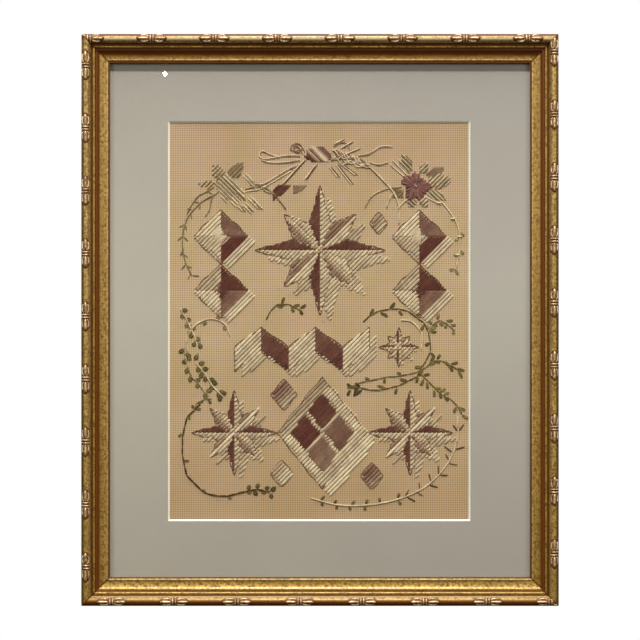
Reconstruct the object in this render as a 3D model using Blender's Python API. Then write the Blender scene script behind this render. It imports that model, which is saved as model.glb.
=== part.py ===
"""Punched paper embroidery in a gilt picture frame.

The frame stands upright as it hangs: X is its width, Z is up and the picture faces -Y.
The rear faces of the rails lie in the plane Y = 0, against the wall, and the origin is the
middle of the top rail's rear face. Lengths are in metres.
"""
import math

import bmesh
import bpy
from mathutils import Matrix, Vector

# Driving sizes of the frame.
OUTER_WIDTH = 0.4200
OUTER_HEIGHT = 0.5030
RAIL_WIDTH = 0.0243
FRAME_DEPTH = 0.0240
CLEARANCE = 0.0003

# The moulding, across the rail from its outer edge and forward from the wall.
ROLL_WIDTH = 0.0088
ROLL_RISE = 0.0058
SHOULDER = FRAME_DEPTH - ROLL_RISE
GROOVE_WIDTH = 0.0012
FILLET_WIDTH = 0.0023
FILLET_RISE = 0.0013
STEP_DROP = 0.0010
STEP_WIDTH = 0.0018
COVE_WIDTH = 0.0070
COVE_DROP = 0.0030
LIP_WIDTH = 0.0022
LIP_RISE = 0.0009
RABBET_WIDTH = 0.0060
RABBET_DEPTH = 0.0110
ROLL_FACETS = 12
BEAD_FACETS = 4
COVE_FACETS = 5

# What the rabbet holds, from the glass back to the backing board.
GLASS_THICKNESS = 0.0020
MAT_THICKNESS = 0.0014
PAPER_THICKNESS = 0.0010
BACKING_THICKNESS = 0.0040
WINDOW_WIDTH = 0.2632
WINDOW_HEIGHT = 0.3493
PAPER_OVERLAP = 0.0120

# The pressed ornament on the roll: two husks point away from a pair of collar bands.
MOTIF_PITCH = 0.0550
COLLAR_OFFSET = 0.0013
COLLAR_HALF = 0.0008
COLLAR_RISE = 0.0007
COLLAR_REACH = math.radians(80)
HUSK_START = 0.0026
HUSK_LENGTH = 0.0098
BUD_HALF = math.radians(22)
BUD_RISE = 0.0010
PETAL_HALF = math.radians(15)
PETAL_RISE = 0.0008
PETAL_LENGTH = 0.0084
EDGE_SINK = 0.00015
KEEL_SINK = 0.0010

# Where each rail starts round the frame, and how far its middle motif lies from its middle.
RAILS = (
    # name, turn about Y in degrees, motif shift along the rail
    ("rail_top", 0, 0.0184),
    ("rail_right", 90, -0.0128),
    ("rail_bottom", 180, 0.0180),
    ("rail_left", 270, 0.0052),
)

RABBET_WALL = RAIL_WIDTH - RABBET_WIDTH
CENTRE_Z = RABBET_WALL / 2 - OUTER_HEIGHT / 2


def clear_scene():
    for thing in list(bpy.data.objects):
        bpy.data.objects.remove(thing, do_unlink=True)


def material(name, colour, roughness, metallic=0.0, transmission=0.0):
    made = bpy.data.materials.new(name)
    made.use_nodes = True
    shader = made.node_tree.nodes["Principled BSDF"]
    shader.inputs["Base Color"].default_value = (*colour, 1.0)
    shader.inputs["Roughness"].default_value = roughness
    shader.inputs["Metallic"].default_value = metallic
    shader.inputs["Transmission Weight"].default_value = transmission
    made.diffuse_color = (*colour, 1.0)
    return made


def mesh_object(name, bm, finish):
    bmesh.ops.recalc_face_normals(bm, faces=bm.faces)
    mesh = bpy.data.meshes.new(name)
    bm.to_mesh(mesh)
    bm.free()
    mesh.materials.append(finish)
    made = bpy.data.objects.new(name, mesh)
    bpy.context.scene.collection.objects.link(made)
    return made


def arc(centre, radii, start, end, facets):
    """Points of an ellipse from one angle to another, both ends with them."""
    points = []
    for step in range(facets + 1):
        angle = math.radians(start + (end - start) * step / facets)
        across = centre[0] + radii[0] * math.cos(angle)
        forward = centre[1] + radii[1] * math.sin(angle)
        points.append((across, forward))
    return points


def moulding_profile():
    """The rail's section as (across, forward) points, round from its rear outer corner."""
    roll = arc((ROLL_WIDTH / 2, SHOULDER), (ROLL_WIDTH / 2, ROLL_RISE), 180, 0, ROLL_FACETS)
    fillet_start = ROLL_WIDTH + GROOVE_WIDTH
    fillet_middle = fillet_start + FILLET_WIDTH / 2
    fillet = arc((fillet_middle, SHOULDER), (FILLET_WIDTH / 2, FILLET_RISE), 180, 0, BEAD_FACETS)
    step_level = SHOULDER - STEP_DROP
    step_start = fillet_start + FILLET_WIDTH
    cove_start = step_start + STEP_WIDTH
    cove_end = cove_start + COVE_WIDTH
    cove_level = step_level - COVE_DROP
    cove = arc((cove_end, step_level), (COVE_WIDTH, COVE_DROP), 180, 270, COVE_FACETS)
    lip_middle = cove_end + LIP_WIDTH / 2
    lip = arc((lip_middle, cove_level), (LIP_WIDTH / 2, LIP_RISE), 180, 0, BEAD_FACETS)
    section = [(0.0, 0.0)]
    section += roll + fillet
    section += [(step_start, step_level)]
    section += cove[:-1] + lip
    section += [(RAIL_WIDTH, cove_level), (RAIL_WIDTH, RABBET_DEPTH)]
    section += [(RABBET_WALL, RABBET_DEPTH), (RABBET_WALL, 0.0)]
    return section


def rail_point(along, across, forward, reach):
    """A point of a rail before it is turned: the rail's outer edge is reach above the middle."""
    return Vector((along, -forward, reach - across))


def roll_point(along, turn, lift, reach):
    """A point on the roll, turn radians from its crown and lift off its surface."""
    across = ROLL_WIDTH / 2 * (1 + math.sin(turn))
    forward = SHOULDER + ROLL_RISE * math.cos(turn)
    normal = Vector((math.sin(turn) / ROLL_WIDTH * 2, math.cos(turn) / ROLL_RISE)).normalized()
    return rail_point(along, across + lift * normal.x, forward + lift * normal.y, reach)


def add_spindle(bm, stations, reach):
    """A raised leaf or band on the roll: a loft of diamonds between two pointed ends.

    Each station is (along, turn, half length, half turn, rise).
    """
    first = stations[0]
    last = stations[-1]
    start = bm.verts.new(roll_point(first[0], first[1], -EDGE_SINK, reach))
    end = bm.verts.new(roll_point(last[0], last[1], -EDGE_SINK, reach))
    rings = []
    for along, turn, half_length, half_turn, rise in stations[1:-1]:
        corners = (
            roll_point(along - half_length, turn - half_turn, -EDGE_SINK, reach),
            roll_point(along, turn, rise, reach),
            roll_point(along + half_length, turn + half_turn, -EDGE_SINK, reach),
            roll_point(along, turn, -KEEL_SINK, reach),
        )
        rings.append([bm.verts.new(corner) for corner in corners])
    for side in range(4):
        following = (side + 1) % 4
        bm.faces.new((start, rings[0][side], rings[0][following]))
        bm.faces.new((end, rings[-1][following], rings[-1][side]))
        for near, far in zip(rings, rings[1:]):
            bm.faces.new((near[side], far[side], far[following], near[following]))


def add_husk(bm, middle, way, reach):
    """One husk: a bud on the crown between two petals, pointing along the rail."""
    root = middle + way * HUSK_START
    bud = (
        # share of the length, share of the half turn, share of the rise
        (0.00, 0.0, 0.0),
        (0.16, 0.8, 0.8),
        (0.45, 1.0, 1.0),
        (0.78, 0.5, 0.8),
        (1.00, 0.0, 0.0),
    )
    stations = []
    for length, width, rise in bud:
        stations.append((root + way * HUSK_LENGTH * length, 0.0, 0.0, BUD_HALF * width, BUD_RISE * rise))
    add_spindle(bm, stations, reach)
    petal = (
        # share of the length, degrees from the crown, share of the half turn, share of the rise
        (0.00, 46, 0.0, 0.0),
        (0.30, 55, 1.0, 1.0),
        (0.70, 49, 0.8, 1.0),
        (1.00, 34, 0.0, 0.0),
    )
    for side in (-1, 1):
        stations = []
        for length, turn, width, rise in petal:
            along = root + way * PETAL_LENGTH * length
            stations.append((along, side * math.radians(turn), 0.0, PETAL_HALF * width, PETAL_RISE * rise))
        add_spindle(bm, stations, reach)


def add_collar(bm, middle, reach):
    """A thin band across the roll."""
    stations = []
    for share, width in ((-1.0, 0.0), (-0.7, 1.0), (0.0, 1.0), (0.7, 1.0), (1.0, 0.0)):
        stations.append((middle, share * COLLAR_REACH, COLLAR_HALF * width, 0.0, COLLAR_RISE * width))
    add_spindle(bm, stations, reach)


def ornament(name, shift, reach, half_length, finish):
    """All the husks and collars of one rail that lie clear of its mitres."""
    bm = bmesh.new()
    limit = half_length - ROLL_WIDTH
    count = math.ceil(half_length / MOTIF_PITCH)
    for number in range(-count, count + 1):
        middle = shift + number * MOTIF_PITCH
        for way in (-1, 1):
            collar = middle + way * COLLAR_OFFSET
            if abs(collar) + COLLAR_HALF < limit:
                add_collar(bm, collar, reach)
            tip = middle + way * (HUSK_START + HUSK_LENGTH)
            root = middle + way * HUSK_START
            if max(abs(tip), abs(root)) < limit:
                add_husk(bm, middle, way, reach)
    made = mesh_object(name, bm, finish)
    made.hide_render = True
    made.display_type = "WIRE"
    return made


def rail(name, turn, shift, centre, finish):
    """One length of moulding, mitred at both ends, with its pressed ornament."""
    upright = turn % 180 == 90
    half_length = (OUTER_HEIGHT if upright else OUTER_WIDTH) / 2
    reach = (OUTER_WIDTH if upright else OUTER_HEIGHT) / 2
    setback = CLEARANCE / math.sqrt(2)
    bm = bmesh.new()
    ends = []
    for side in (-1, 1):
        ring = []
        for across, forward in moulding_profile():
            along = side * (half_length - across - setback)
            ring.append(bm.verts.new(rail_point(along, across, forward, reach)))
        bm.faces.new(ring)
        ends.append(ring)
    count = len(ends[0])
    for index in range(count):
        following = (index + 1) % count
        bm.faces.new((ends[0][index], ends[0][following], ends[1][following], ends[1][index]))
    made = mesh_object(name, bm, finish)
    raised = ornament(name + "_ornament", shift, reach, half_length, finish)
    for thing in (made, raised):
        thing.parent = centre
        thing.rotation_euler.y = math.radians(turn)
    union = made.modifiers.new("ornament", "BOOLEAN")
    union.operation = "UNION"
    union.solver = "EXACT"
    union.object = raised
    made.data.shade_smooth()
    made.data.set_sharp_from_angle(angle=math.radians(30))
    return made


def slab(name, width, height, front, thickness, centre, finish):
    """A flat board whose front face lies front ahead of the wall."""
    bm = bmesh.new()
    place = Matrix.Translation((0, thickness / 2 - front, 0))
    bmesh.ops.create_cube(bm, size=1.0, matrix=place @ Matrix.Diagonal((width, thickness, height, 1)))
    made = mesh_object(name, bm, finish)
    made.parent = centre
    return made


def mat_board(width, height, front, centre, finish):
    """The mat with its window, whose bevel leans out towards the glass."""
    bm = bmesh.new()
    rings = []
    for half_x, half_z, level in (
        (width / 2, height / 2, front),
        (WINDOW_WIDTH / 2 + MAT_THICKNESS, WINDOW_HEIGHT / 2 + MAT_THICKNESS, front),
        (WINDOW_WIDTH / 2, WINDOW_HEIGHT / 2, front - MAT_THICKNESS),
        (width / 2, height / 2, front - MAT_THICKNESS),
    ):
        corners = ((-half_x, -half_z), (half_x, -half_z), (half_x, half_z), (-half_x, half_z))
        rings.append([bm.verts.new((x, -level, z)) for x, z in corners])
    for near, far in zip(rings, rings[1:] + rings[:1]):
        for corner in range(4):
            following = (corner + 1) % 4
            bm.faces.new((near[corner], near[following], far[following], far[corner]))
    made = mesh_object("mat_board", bm, finish)
    made.parent = centre
    return made


def build():
    clear_scene()
    gilt = material("gilt", (0.45, 0.28, 0.09), 0.38, metallic=0.85)
    clear = material("clear_glass", (0.92, 0.97, 0.94), 0.03, transmission=1.0)
    mat = material("mat_card", (0.42, 0.39, 0.32), 0.9)
    paper = material("punched_card", (0.55, 0.37, 0.20), 0.85)
    board = material("backing_card", (0.36, 0.24, 0.13), 0.9)

    centre = bpy.data.objects.new("frame_centre", None)
    bpy.context.scene.collection.objects.link(centre)
    centre.location = (0, 0, CENTRE_Z)

    for name, turn, shift in RAILS:
        rail(name, turn, shift, centre, gilt)

    width = OUTER_WIDTH - 2 * (RABBET_WALL + CLEARANCE)
    height = OUTER_HEIGHT - 2 * (RABBET_WALL + CLEARANCE)
    glass_front = RABBET_DEPTH - CLEARANCE
    mat_front = glass_front - GLASS_THICKNESS - CLEARANCE
    paper_front = mat_front - MAT_THICKNESS - CLEARANCE
    backing_front = paper_front - PAPER_THICKNESS - CLEARANCE
    slab("glass", width, height, glass_front, GLASS_THICKNESS, centre, clear)
    mat_board(width, height, mat_front, centre, mat)
    paper_width = WINDOW_WIDTH + 2 * PAPER_OVERLAP
    paper_height = WINDOW_HEIGHT + 2 * PAPER_OVERLAP
    slab("punched_paper", paper_width, paper_height, paper_front, PAPER_THICKNESS, centre, paper)
    slab("backing_board", width, height, backing_front, BACKING_THICKNESS, centre, board)


build()
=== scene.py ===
"""The looks of the punched paper embroidery in its gilt frame, as a Blender add-on run as a script."""
import math
import random

import bmesh
import bpy
import numpy as np
from mathutils import Matrix, Vector


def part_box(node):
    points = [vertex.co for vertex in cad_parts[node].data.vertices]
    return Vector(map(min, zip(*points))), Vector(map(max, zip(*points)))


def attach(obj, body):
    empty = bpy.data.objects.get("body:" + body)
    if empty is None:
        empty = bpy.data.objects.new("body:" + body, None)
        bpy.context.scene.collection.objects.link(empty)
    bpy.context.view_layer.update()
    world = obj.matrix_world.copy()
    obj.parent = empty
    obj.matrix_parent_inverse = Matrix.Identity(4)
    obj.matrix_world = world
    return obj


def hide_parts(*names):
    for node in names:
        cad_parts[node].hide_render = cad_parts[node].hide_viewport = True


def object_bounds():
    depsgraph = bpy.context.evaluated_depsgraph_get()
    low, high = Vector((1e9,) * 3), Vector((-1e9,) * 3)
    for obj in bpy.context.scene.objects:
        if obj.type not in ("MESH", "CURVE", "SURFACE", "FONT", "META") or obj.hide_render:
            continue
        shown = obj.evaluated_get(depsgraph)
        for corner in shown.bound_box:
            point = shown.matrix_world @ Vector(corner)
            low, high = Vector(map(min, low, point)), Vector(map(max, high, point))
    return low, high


bl_info = {
    "name": "Framed punched paper embroidery",
    "version": (1, 0, 0),
    "blender": (4, 5, 0),
    "location": "View3D > Sidebar > Needlework",
    "description": "Builds the gilt frame, glass, mat, punched paper and wool work around the packed model",
    "category": "Add Mesh",
}

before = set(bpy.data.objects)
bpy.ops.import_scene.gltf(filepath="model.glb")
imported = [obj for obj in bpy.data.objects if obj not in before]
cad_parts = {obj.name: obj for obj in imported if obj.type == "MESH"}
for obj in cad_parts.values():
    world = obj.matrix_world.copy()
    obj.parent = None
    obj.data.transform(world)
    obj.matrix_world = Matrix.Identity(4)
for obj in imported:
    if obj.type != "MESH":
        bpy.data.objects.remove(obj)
CAD_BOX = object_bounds()
BODY = "root"
MM = 0.001
# the room that the rabbet leaves round the glass and the mat
CLEARANCE = 0.3 * MM
# what counts as no distance
HAIR = 0.1 * MM
# what a normal's share along an axis has to be for its face to look that way
FACING = 0.9

LOW, HIGH = CAD_BOX
OUTER_WIDTH = HIGH.x - LOW.x
OUTER_HEIGHT = HIGH.z - LOW.z
CENTRE = Vector(((LOW.x + HIGH.x) / 2, 0.0, (LOW.z + HIGH.z) / 2))
RAIL_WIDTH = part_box("rail_top")[1].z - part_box("rail_top")[0].z
PAPER_LOW, PAPER_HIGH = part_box("punched_paper")
PAPER_FRONT = PAPER_LOW.y
PAPER_WIDTH = PAPER_HIGH.x - PAPER_LOW.x
PAPER_HEIGHT = PAPER_HIGH.z - PAPER_LOW.z
MAT_LOW, MAT_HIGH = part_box("mat_board")
RABBET_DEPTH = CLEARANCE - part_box("glass")[0].y
RABBET_WALL = MAT_LOW.x - LOW.x - CLEARANCE


def measure(name, description, millimetres):
    """A size that a user would change, given in millimetres and kept in metres."""
    return bpy.props.FloatProperty(
        name=name, description=description, default=millimetres * MM, unit="LENGTH")


def tint(name, description, *colour):
    """A colour that a user would change."""
    return bpy.props.FloatVectorProperty(
        name=name, description=description, default=colour, subtype="COLOR")


def portion(name, description, default):
    """A light's power as a share of the key light's."""
    return bpy.props.FloatProperty(
        name=name, description=description, default=default, subtype="FACTOR")


class MouldingLooks(bpy.types.PropertyGroup):
    """Sizes of the gilt moulding's section and of its pressed ornament"""

    roll_width: measure("Roll width", "Width of the outer roll", 8.8)
    roll_rise: measure("Roll rise", "Height of the roll above its shoulders", 5.8)
    shoulder: measure("Shoulder", "Height of the roll's shoulders from the wall", 18.2)
    groove_width: measure("Groove width", "Width of the dark groove inside the roll", 1.2)
    fillet_width: measure("Fillet width", "Width of the thin bead inside the groove", 2.3)
    fillet_rise: measure("Fillet rise", "Height of the thin bead", 1.3)
    step_drop: measure("Step drop", "How far the step lies below the bead's foot", 1.0)
    step_width: measure("Step width", "Width of the step before the cove", 1.8)
    cove_width: measure("Cove width", "Width of the hollow cove", 7.0)
    cove_drop: measure("Cove drop", "Depth of the hollow cove", 3.0)
    lip_width: measure("Lip width", "Width of the bead at the sight edge", 2.2)
    lip_rise: measure("Lip rise", "Height of the bead at the sight edge", 0.7)
    motif_pitch: measure("Motif pitch", "Distance between ornament middles", 55.0)
    husk_length: measure("Husk length", "Length of one husk", 9.8)
    husk_start: measure("Husk start", "Distance from a motif's middle to its husks", 2.6)
    gold: tint("Gold", "Colour of the gold leaf", 0.390, 0.245, 0.045)
    # rubbed gilding, and on the top and bottom rolls a painted highlight
    worn_and_highlight: tint("Worn gold", "Colour of the rubbed gilding on the heights", 0.66, 0.54, 0.36)
    pressed: tint("Pressed gold", "Colour of the pressed ornament's gilding", 0.58, 0.43, 0.25)
    bole: tint("Bole", "Colour of the red-brown ground under the gold", 0.140, 0.042, 0.003)


class MatLooks(bpy.types.PropertyGroup):
    """The bevelled mat board"""

    face: tint("Face", "Colour of the mat's face", 0.412, 0.376, 0.346)
    core: tint("Core", "Colour of the mat's core at the bevel", 0.92, 0.89, 0.82)
    window_width: measure("Window width", "Width of the window at the paper", 265.1)
    window_height: measure("Window height", "Height of the window at the paper", 351.8)
    window_aside: measure("Window aside", "How far the window is cut left of the middle", 0.7)
    window_drop: measure("Window drop", "How far the window is cut below the middle", 0.9)


class PaperLooks(bpy.types.PropertyGroup):
    """The punched paper and its backing"""

    pitch: measure("Hole pitch", "Distance between neighbouring holes", 2.0)
    hole: measure("Hole size", "Width of one hole across its corners", 0.84)
    columns: bpy.props.IntProperty(
        name="Columns", description="Punched columns either side of the middle one", default=66)
    rows: bpy.props.IntProperty(
        name="Rows", description="Punched rows above and below the middle one", default=88)
    tan: tint("Paper", "Colour of the aged paper", 0.524, 0.360, 0.224)
    board: tint("Backing", "Colour of the backing board", 0.30, 0.20, 0.11)


class WoolLooks(bpy.types.PropertyGroup):
    """The wools and how they are worked"""

    cream: tint("Cream", "The palest wool", 0.80, 0.640, 0.440)
    taupe: tint("Taupe", "The grey-brown wool", 0.40, 0.285, 0.185)
    mauve: tint("Mauve", "The mauve-brown wool", 0.232, 0.116, 0.080)
    maroon: tint("Maroon", "The darkest wool", 0.115, 0.026, 0.016)
    plum: tint("Plum", "The purplish wool of one flower", 0.245, 0.110, 0.100)
    sage: tint("Sage", "The palest green", 0.360, 0.300, 0.135)
    olive: tint("Olive", "The middle green", 0.190, 0.143, 0.036)
    forest: tint("Forest", "The darkest green", 0.066, 0.047, 0.011)
    satin_width: measure("Satin width", "Width of a laid satin strand", 2.55)
    satin_height: measure("Satin height", "Height of a laid satin strand", 0.78)
    thread: measure("Thread", "Thickness of the outline thread", 0.75)
    stem: measure("Stem", "Thickness of the couched stem yarn", 1.15)


class StageLooks(bpy.types.PropertyGroup):
    """Camera distance and lights"""

    distance: measure("Camera distance", "From the camera to the wall plane", 1400.0)
    picture_width: measure("Picture width", "What the image spans at the frame's outer edge", 563.2)
    key_angle: bpy.props.FloatProperty(
        name="Key angle", description="The key light's height above the picture's normal",
        default=math.radians(52), subtype="ANGLE")
    key_distance: measure("Key distance", "From the key light to the picture", 4000.0)
    key_power: bpy.props.FloatProperty(
        name="Key power", description="Power of the key light", default=130.0, unit="POWER")
    side_share: portion("Side lights", "Power of each side light as a share of the key's", 0.20)
    rear_share: portion("Rear lights", "Power of each light behind as a share of the key's", 0.55)
    ceiling_share: portion("Ceiling light", "Power of the light overhead as a share of the key's", 0.60)
    fill: bpy.props.FloatProperty(
        name="Fill", description="Strength of the room's soft light", default=0.36)


def looks(name):
    """The settings of one part of the picture."""
    return getattr(bpy.context.scene, "framed_" + name)


def scaled(colour, *parts):
    """A colour with every channel taken times one number, or each times its own."""
    parts = parts * 3 if len(parts) == 1 else parts
    return tuple(channel * part for channel, part in zip(colour, parts))


def halfway(first, second):
    """The colour half way between two others."""
    return [(a + b) / 2 for a, b in zip(first, second)]


def deselect():
    """Leaves edit mode, with no object selected."""
    if bpy.context.mode != "OBJECT":
        bpy.ops.object.mode_set(mode="OBJECT")
    bpy.ops.object.select_all(action="DESELECT")


def place_in_mesh(made):
    """Puts an object's place and turn into its mesh."""
    made.data.transform(made.matrix_basis)
    made.matrix_basis = Matrix.Identity(4)


def join(pieces, name):
    """Makes several objects one."""
    deselect()
    for piece in pieces:
        piece.select_set(True)
    bpy.context.view_layer.objects.active = pieces[0]
    bpy.ops.object.join()
    made = bpy.context.object
    made.name = name
    return made


def linked(name, data):
    """A new object that shows some data."""
    made = bpy.data.objects.new(name, data)
    bpy.context.scene.collection.objects.link(made)
    return made


class Nodes:
    """A small hand for wiring the nodes of a material or of the world."""

    def __init__(self, name, library="materials"):
        self.made = getattr(bpy.data, library).new(name)
        self.made.use_nodes = True
        self.tree = self.made.node_tree
        self.shader = self.tree.nodes.get("Principled BSDF")

    def feed(self, socket, value):
        """Links a socket to its source, or sets its number, vector or colour."""
        if isinstance(value, bpy.types.NodeSocket):
            self.tree.links.new(value, socket)
        elif isinstance(value, (int, float)):
            socket.default_value = value
        elif value is not None:
            socket.default_value = (*value, 1.0)[:len(socket.default_value)]

    def add(self, kind, **values):
        """A new node; names that start with in_ are sockets, and the others are its own settings."""
        node = self.tree.nodes.new("ShaderNode" + kind)
        for key, value in values.items():
            if key.startswith("in_"):
                self.feed(node.inputs[key[3:].replace("_", " ")], value)
            else:
                setattr(node, key, value)
        return node

    def place(self):
        """The place on the object."""
        return self.add("TexCoord").outputs["Object"]

    def part(self, axis, vector=None):
        """One coordinate of a vector, or of the place on the object."""
        return self.add("SeparateXYZ", in_Vector=vector or self.place()).outputs[axis]

    def noise(self, scale, detail=3.0, roughness=0.55, stretch=None):
        """A cloudy pattern, drawn out along an axis where a stretch is given."""
        source = self.place()
        if stretch is not None:
            source = self.add("Mapping", in_Scale=stretch, in_Vector=source).outputs["Vector"]
        node = self.add("TexNoise", in_Scale=scale, in_Detail=detail, in_Roughness=roughness,
                        in_Vector=source)
        return node.outputs["Fac"]

    def pebbles(self, scale):
        """A pattern of small rounded bumps."""
        node = self.add("TexVoronoi", feature="SMOOTH_F1", in_Scale=scale, in_Smoothness=0.6,
                        in_Vector=self.place())
        return node.outputs["Distance"]

    def ramp(self, source, *stops):
        """A colour ramp; each stop is its place and its grey or colour."""
        node = self.add("ValToRGB", in_Fac=source)
        elements = node.color_ramp.elements
        while len(elements) < len(stops):
            elements.new(0.5)
        for element, (place, colour) in zip(elements, stops):
            element.position = place
            if not isinstance(colour, (tuple, list)):
                colour = (colour, colour, colour)
            element.color = (*colour, 1.0)
        return node.outputs["Color"]

    def reach(self, axis="Z"):
        """From 0 at the frame's foot to 1 at its top, or from its left side to its right."""
        number = "XYZ".index(axis)
        span = self.add("MapRange", in_From_Min=LOW[number], in_From_Max=HIGH[number],
                        in_Value=self.part(axis))
        return span.outputs[0]

    def hole_row_shade(self, pitch):
        """1 along the rows and the columns of holes, for the painted shade that runs along them."""
        ways = []
        for axis, middle in (("X", CENTRE.x), ("Z", CENTRE.z)):
            turns = self.math("MULTIPLY", self.math("SUBTRACT", self.part(axis), middle), math.tau / pitch)
            ways.append(self.math("COSINE", turns))
        return self.math("MAXIMUM", *ways)

    def mix(self, factor, first, second, blend="MIX"):
        """One colour over another."""
        node = self.add("Mix", data_type="RGBA", blend_type=blend)
        for number, value in ((0, factor), (6, first), (7, second)):
            self.feed(node.inputs[number], value)
        return node.outputs[2]

    def times(self, first, second):
        """One colour tinted by another."""
        return self.mix(1.0, first, second, "MULTIPLY")

    def fleck(self, colour, source, low, high, amount, other):
        """Lets a second colour through as a pattern rises from one level to another."""
        return self.mix(self.ramp(source, (low, 0.0), (high, amount)), colour, other)

    def math(self, operation, *values):
        """A sum worked out for every point."""
        node = self.add("Math", operation=operation)
        for socket, value in zip(node.inputs, values):
            self.feed(socket, value)
        return node.outputs[0]

    def attribute(self, name):
        """A value that the mesh keeps for every point."""
        return self.add("Attribute", attribute_name=name).outputs["Fac"]

    def bump(self, height, strength, distance, after=None):
        """A relief of a given depth, on top of another where one is given."""
        node = self.add("Bump", in_Strength=strength, in_Distance=distance, in_Height=height,
                        in_Normal=after)
        return node.outputs["Normal"]

    def blend(self, factor, first, second):
        """Mixes two shaders and sends the result to the output."""
        node = self.add("MixShader")
        for socket, value in zip(node.inputs, (factor, first.outputs[0], second.outputs[0])):
            self.feed(socket, value)
        for output in self.tree.nodes:
            if output.bl_idname.startswith("ShaderNodeOutput"):
                self.feed(output.inputs["Surface"], node.outputs[0])
        return self.made

    def finish(self, colour, normal, roughness, **others):
        """Feeds the shader's sockets, those after the first three by their names."""
        values = {"Base_Color": colour, "Normal": normal, "Roughness": roughness, **others}
        for name, value in values.items():
            self.feed(self.shader.inputs[name.replace("_", " ")], value)
        return self.made


def gilt_material(name, gold, relief):
    """Gold leaf over red-brown bole: stippled, toned in the hollows and rubbed on the heights, with painted
    shade and painted highlight.
    """
    m = looks("moulding")
    kit = Nodes(name)
    mottle = kit.noise(430.0, detail=4.0, roughness=0.66)
    pale_gold = tuple(min(1.0, c * 1.35 + 0.04) for c in gold)
    leaf = kit.ramp(mottle, (0.40, scaled(gold, 0.36, 0.30, 0.22)), (0.50, tuple(gold)), (0.60, pale_gold))
    leaf = kit.fleck(leaf, kit.noise(60.0), 0.35, 0.7, 0.45, scaled(gold, 0.75))
    hollow = kit.attribute("hollow")
    # pale worn gold where hollow is below zero: rubbed heights, and a painted highlight on the top and
    # bottom rolls
    leaf = kit.fleck(leaf, kit.math("MULTIPLY", hollow, -1.0), 0.05, 0.45, 0.85, m.worn_and_highlight)
    # bole through the gold where hollow is high: toning in the hollows, and painted shade in the top rail's
    # cove and on its lip
    patina_and_shade = kit.math("ADD", hollow, kit.math("MULTIPLY", mottle, 0.5))
    toned = kit.ramp(patina_and_shade, (0.40, 0.0), (0.90, 1.0))
    normal = kit.bump(kit.pebbles(900.0), 0.55, relief)
    normal = kit.bump(kit.noise(1500.0, detail=2.0), 0.25, 0.12 * MM, normal)
    return kit.finish(
        kit.mix(toned, leaf, m.bole), normal, kit.ramp(mottle, (0.25, 0.66), (0.75, 0.50)),
        Metallic=kit.ramp(toned, (0.35, 0.75), (1.0, 0.45)), Specular_IOR_Level=0.2,
        Coat_Weight=kit.ramp(toned, (0.0, 0.55), (0.8, 0.12)), Coat_IOR=1.65, Coat_Roughness=0.30)


def bare_wood_material(name, stretch):
    """The pale softwood of the moulding's back and rabbet, its grain along the rail."""
    kit = Nodes(name)
    grain = kit.noise(60.0, detail=6.0, roughness=0.65, stretch=stretch)
    colour = kit.ramp(grain, (0.3, (0.22, 0.13, 0.065)), (0.55, (0.36, 0.235, 0.125)),
                      (0.8, (0.45, 0.31, 0.175)))
    colour = kit.fleck(colour, kit.noise(900.0), 0.4, 0.9, 0.35, (0.20, 0.12, 0.06))
    return kit.finish(colour, kit.bump(grain, 0.4, 0.4 * MM), 0.72)


def glass_material():
    """Clear picture glass: lamps shine through it, and its outer face mirrors a little."""
    kit = Nodes("picture_glass")
    kit.tree.nodes.remove(kit.shader)
    clear = kit.add("BsdfTransparent", in_Color=(0.985, 0.995, 0.985))
    smear = kit.ramp(kit.noise(14.0, detail=2.0), (0.35, (0.86, 0.88, 0.87)), (0.7, 1.0))
    gloss = kit.add("BsdfGlossy", in_Roughness=0.012, in_Color=smear)
    outer = kit.math("SUBTRACT", 1.0, kit.add("NewGeometry").outputs["Backfacing"])
    lit = kit.math("SUBTRACT", 1.0, kit.add("LightPath").outputs["Is Shadow Ray"])
    facing_lamp = kit.math("MULTIPLY", outer, lit)
    mirror = kit.math("MULTIPLY", kit.add("Fresnel", in_IOR=1.5).outputs[0], facing_lamp)
    return kit.blend(mirror, clear, gloss)


def mat_face_material():
    """The mat's coloured face paper: faint fibre, a slow change of tone, and painted light brightest across
    the middle and dimmer towards the top, the bottom and the right.
    """
    face = looks("mat").face
    kit = Nodes("mat_face")
    fibre = kit.noise(1400.0, stretch=(1.0, 1.0, 0.35))
    colour = kit.ramp(kit.noise(9.0, detail=2.0), (0.3, scaled(face, 0.975)), (0.7, scaled(face, 1.02)))
    # painted light: the face lighter across the middle and darker towards the top and bottom
    colour = kit.times(colour, kit.ramp(
        kit.reach(), (0.05, (0.85, 0.84, 0.825)), (0.30, (0.95, 0.95, 0.925)), (0.52, (1.05, 1.06, 1.04)),
        (0.70, (0.99, 0.99, 0.985)), (0.92, (0.88, 0.875, 0.89))))
    # painted light: a little darker and bluer towards the right side
    colour = kit.times(colour, kit.ramp(kit.reach("X"), (0.15, 1.0), (0.85, (0.945, 0.95, 0.985))))
    colour = kit.fleck(colour, fibre, 0.35, 0.8, 0.045, scaled(face, 0.7))
    return kit.finish(colour, kit.bump(fibre, 0.12, 0.1 * MM), 0.88)


def mat_core_material():
    """The white core that the bevelled cut lays bare."""
    core = looks("mat").core
    kit = Nodes("mat_core")
    fibre = kit.noise(2200.0)
    colour = kit.ramp(fibre, (0.3, scaled(core, 0.93)), (0.7, tuple(core)))
    return kit.finish(colour, kit.bump(fibre, 0.15, 0.1 * MM), 0.9)


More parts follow.
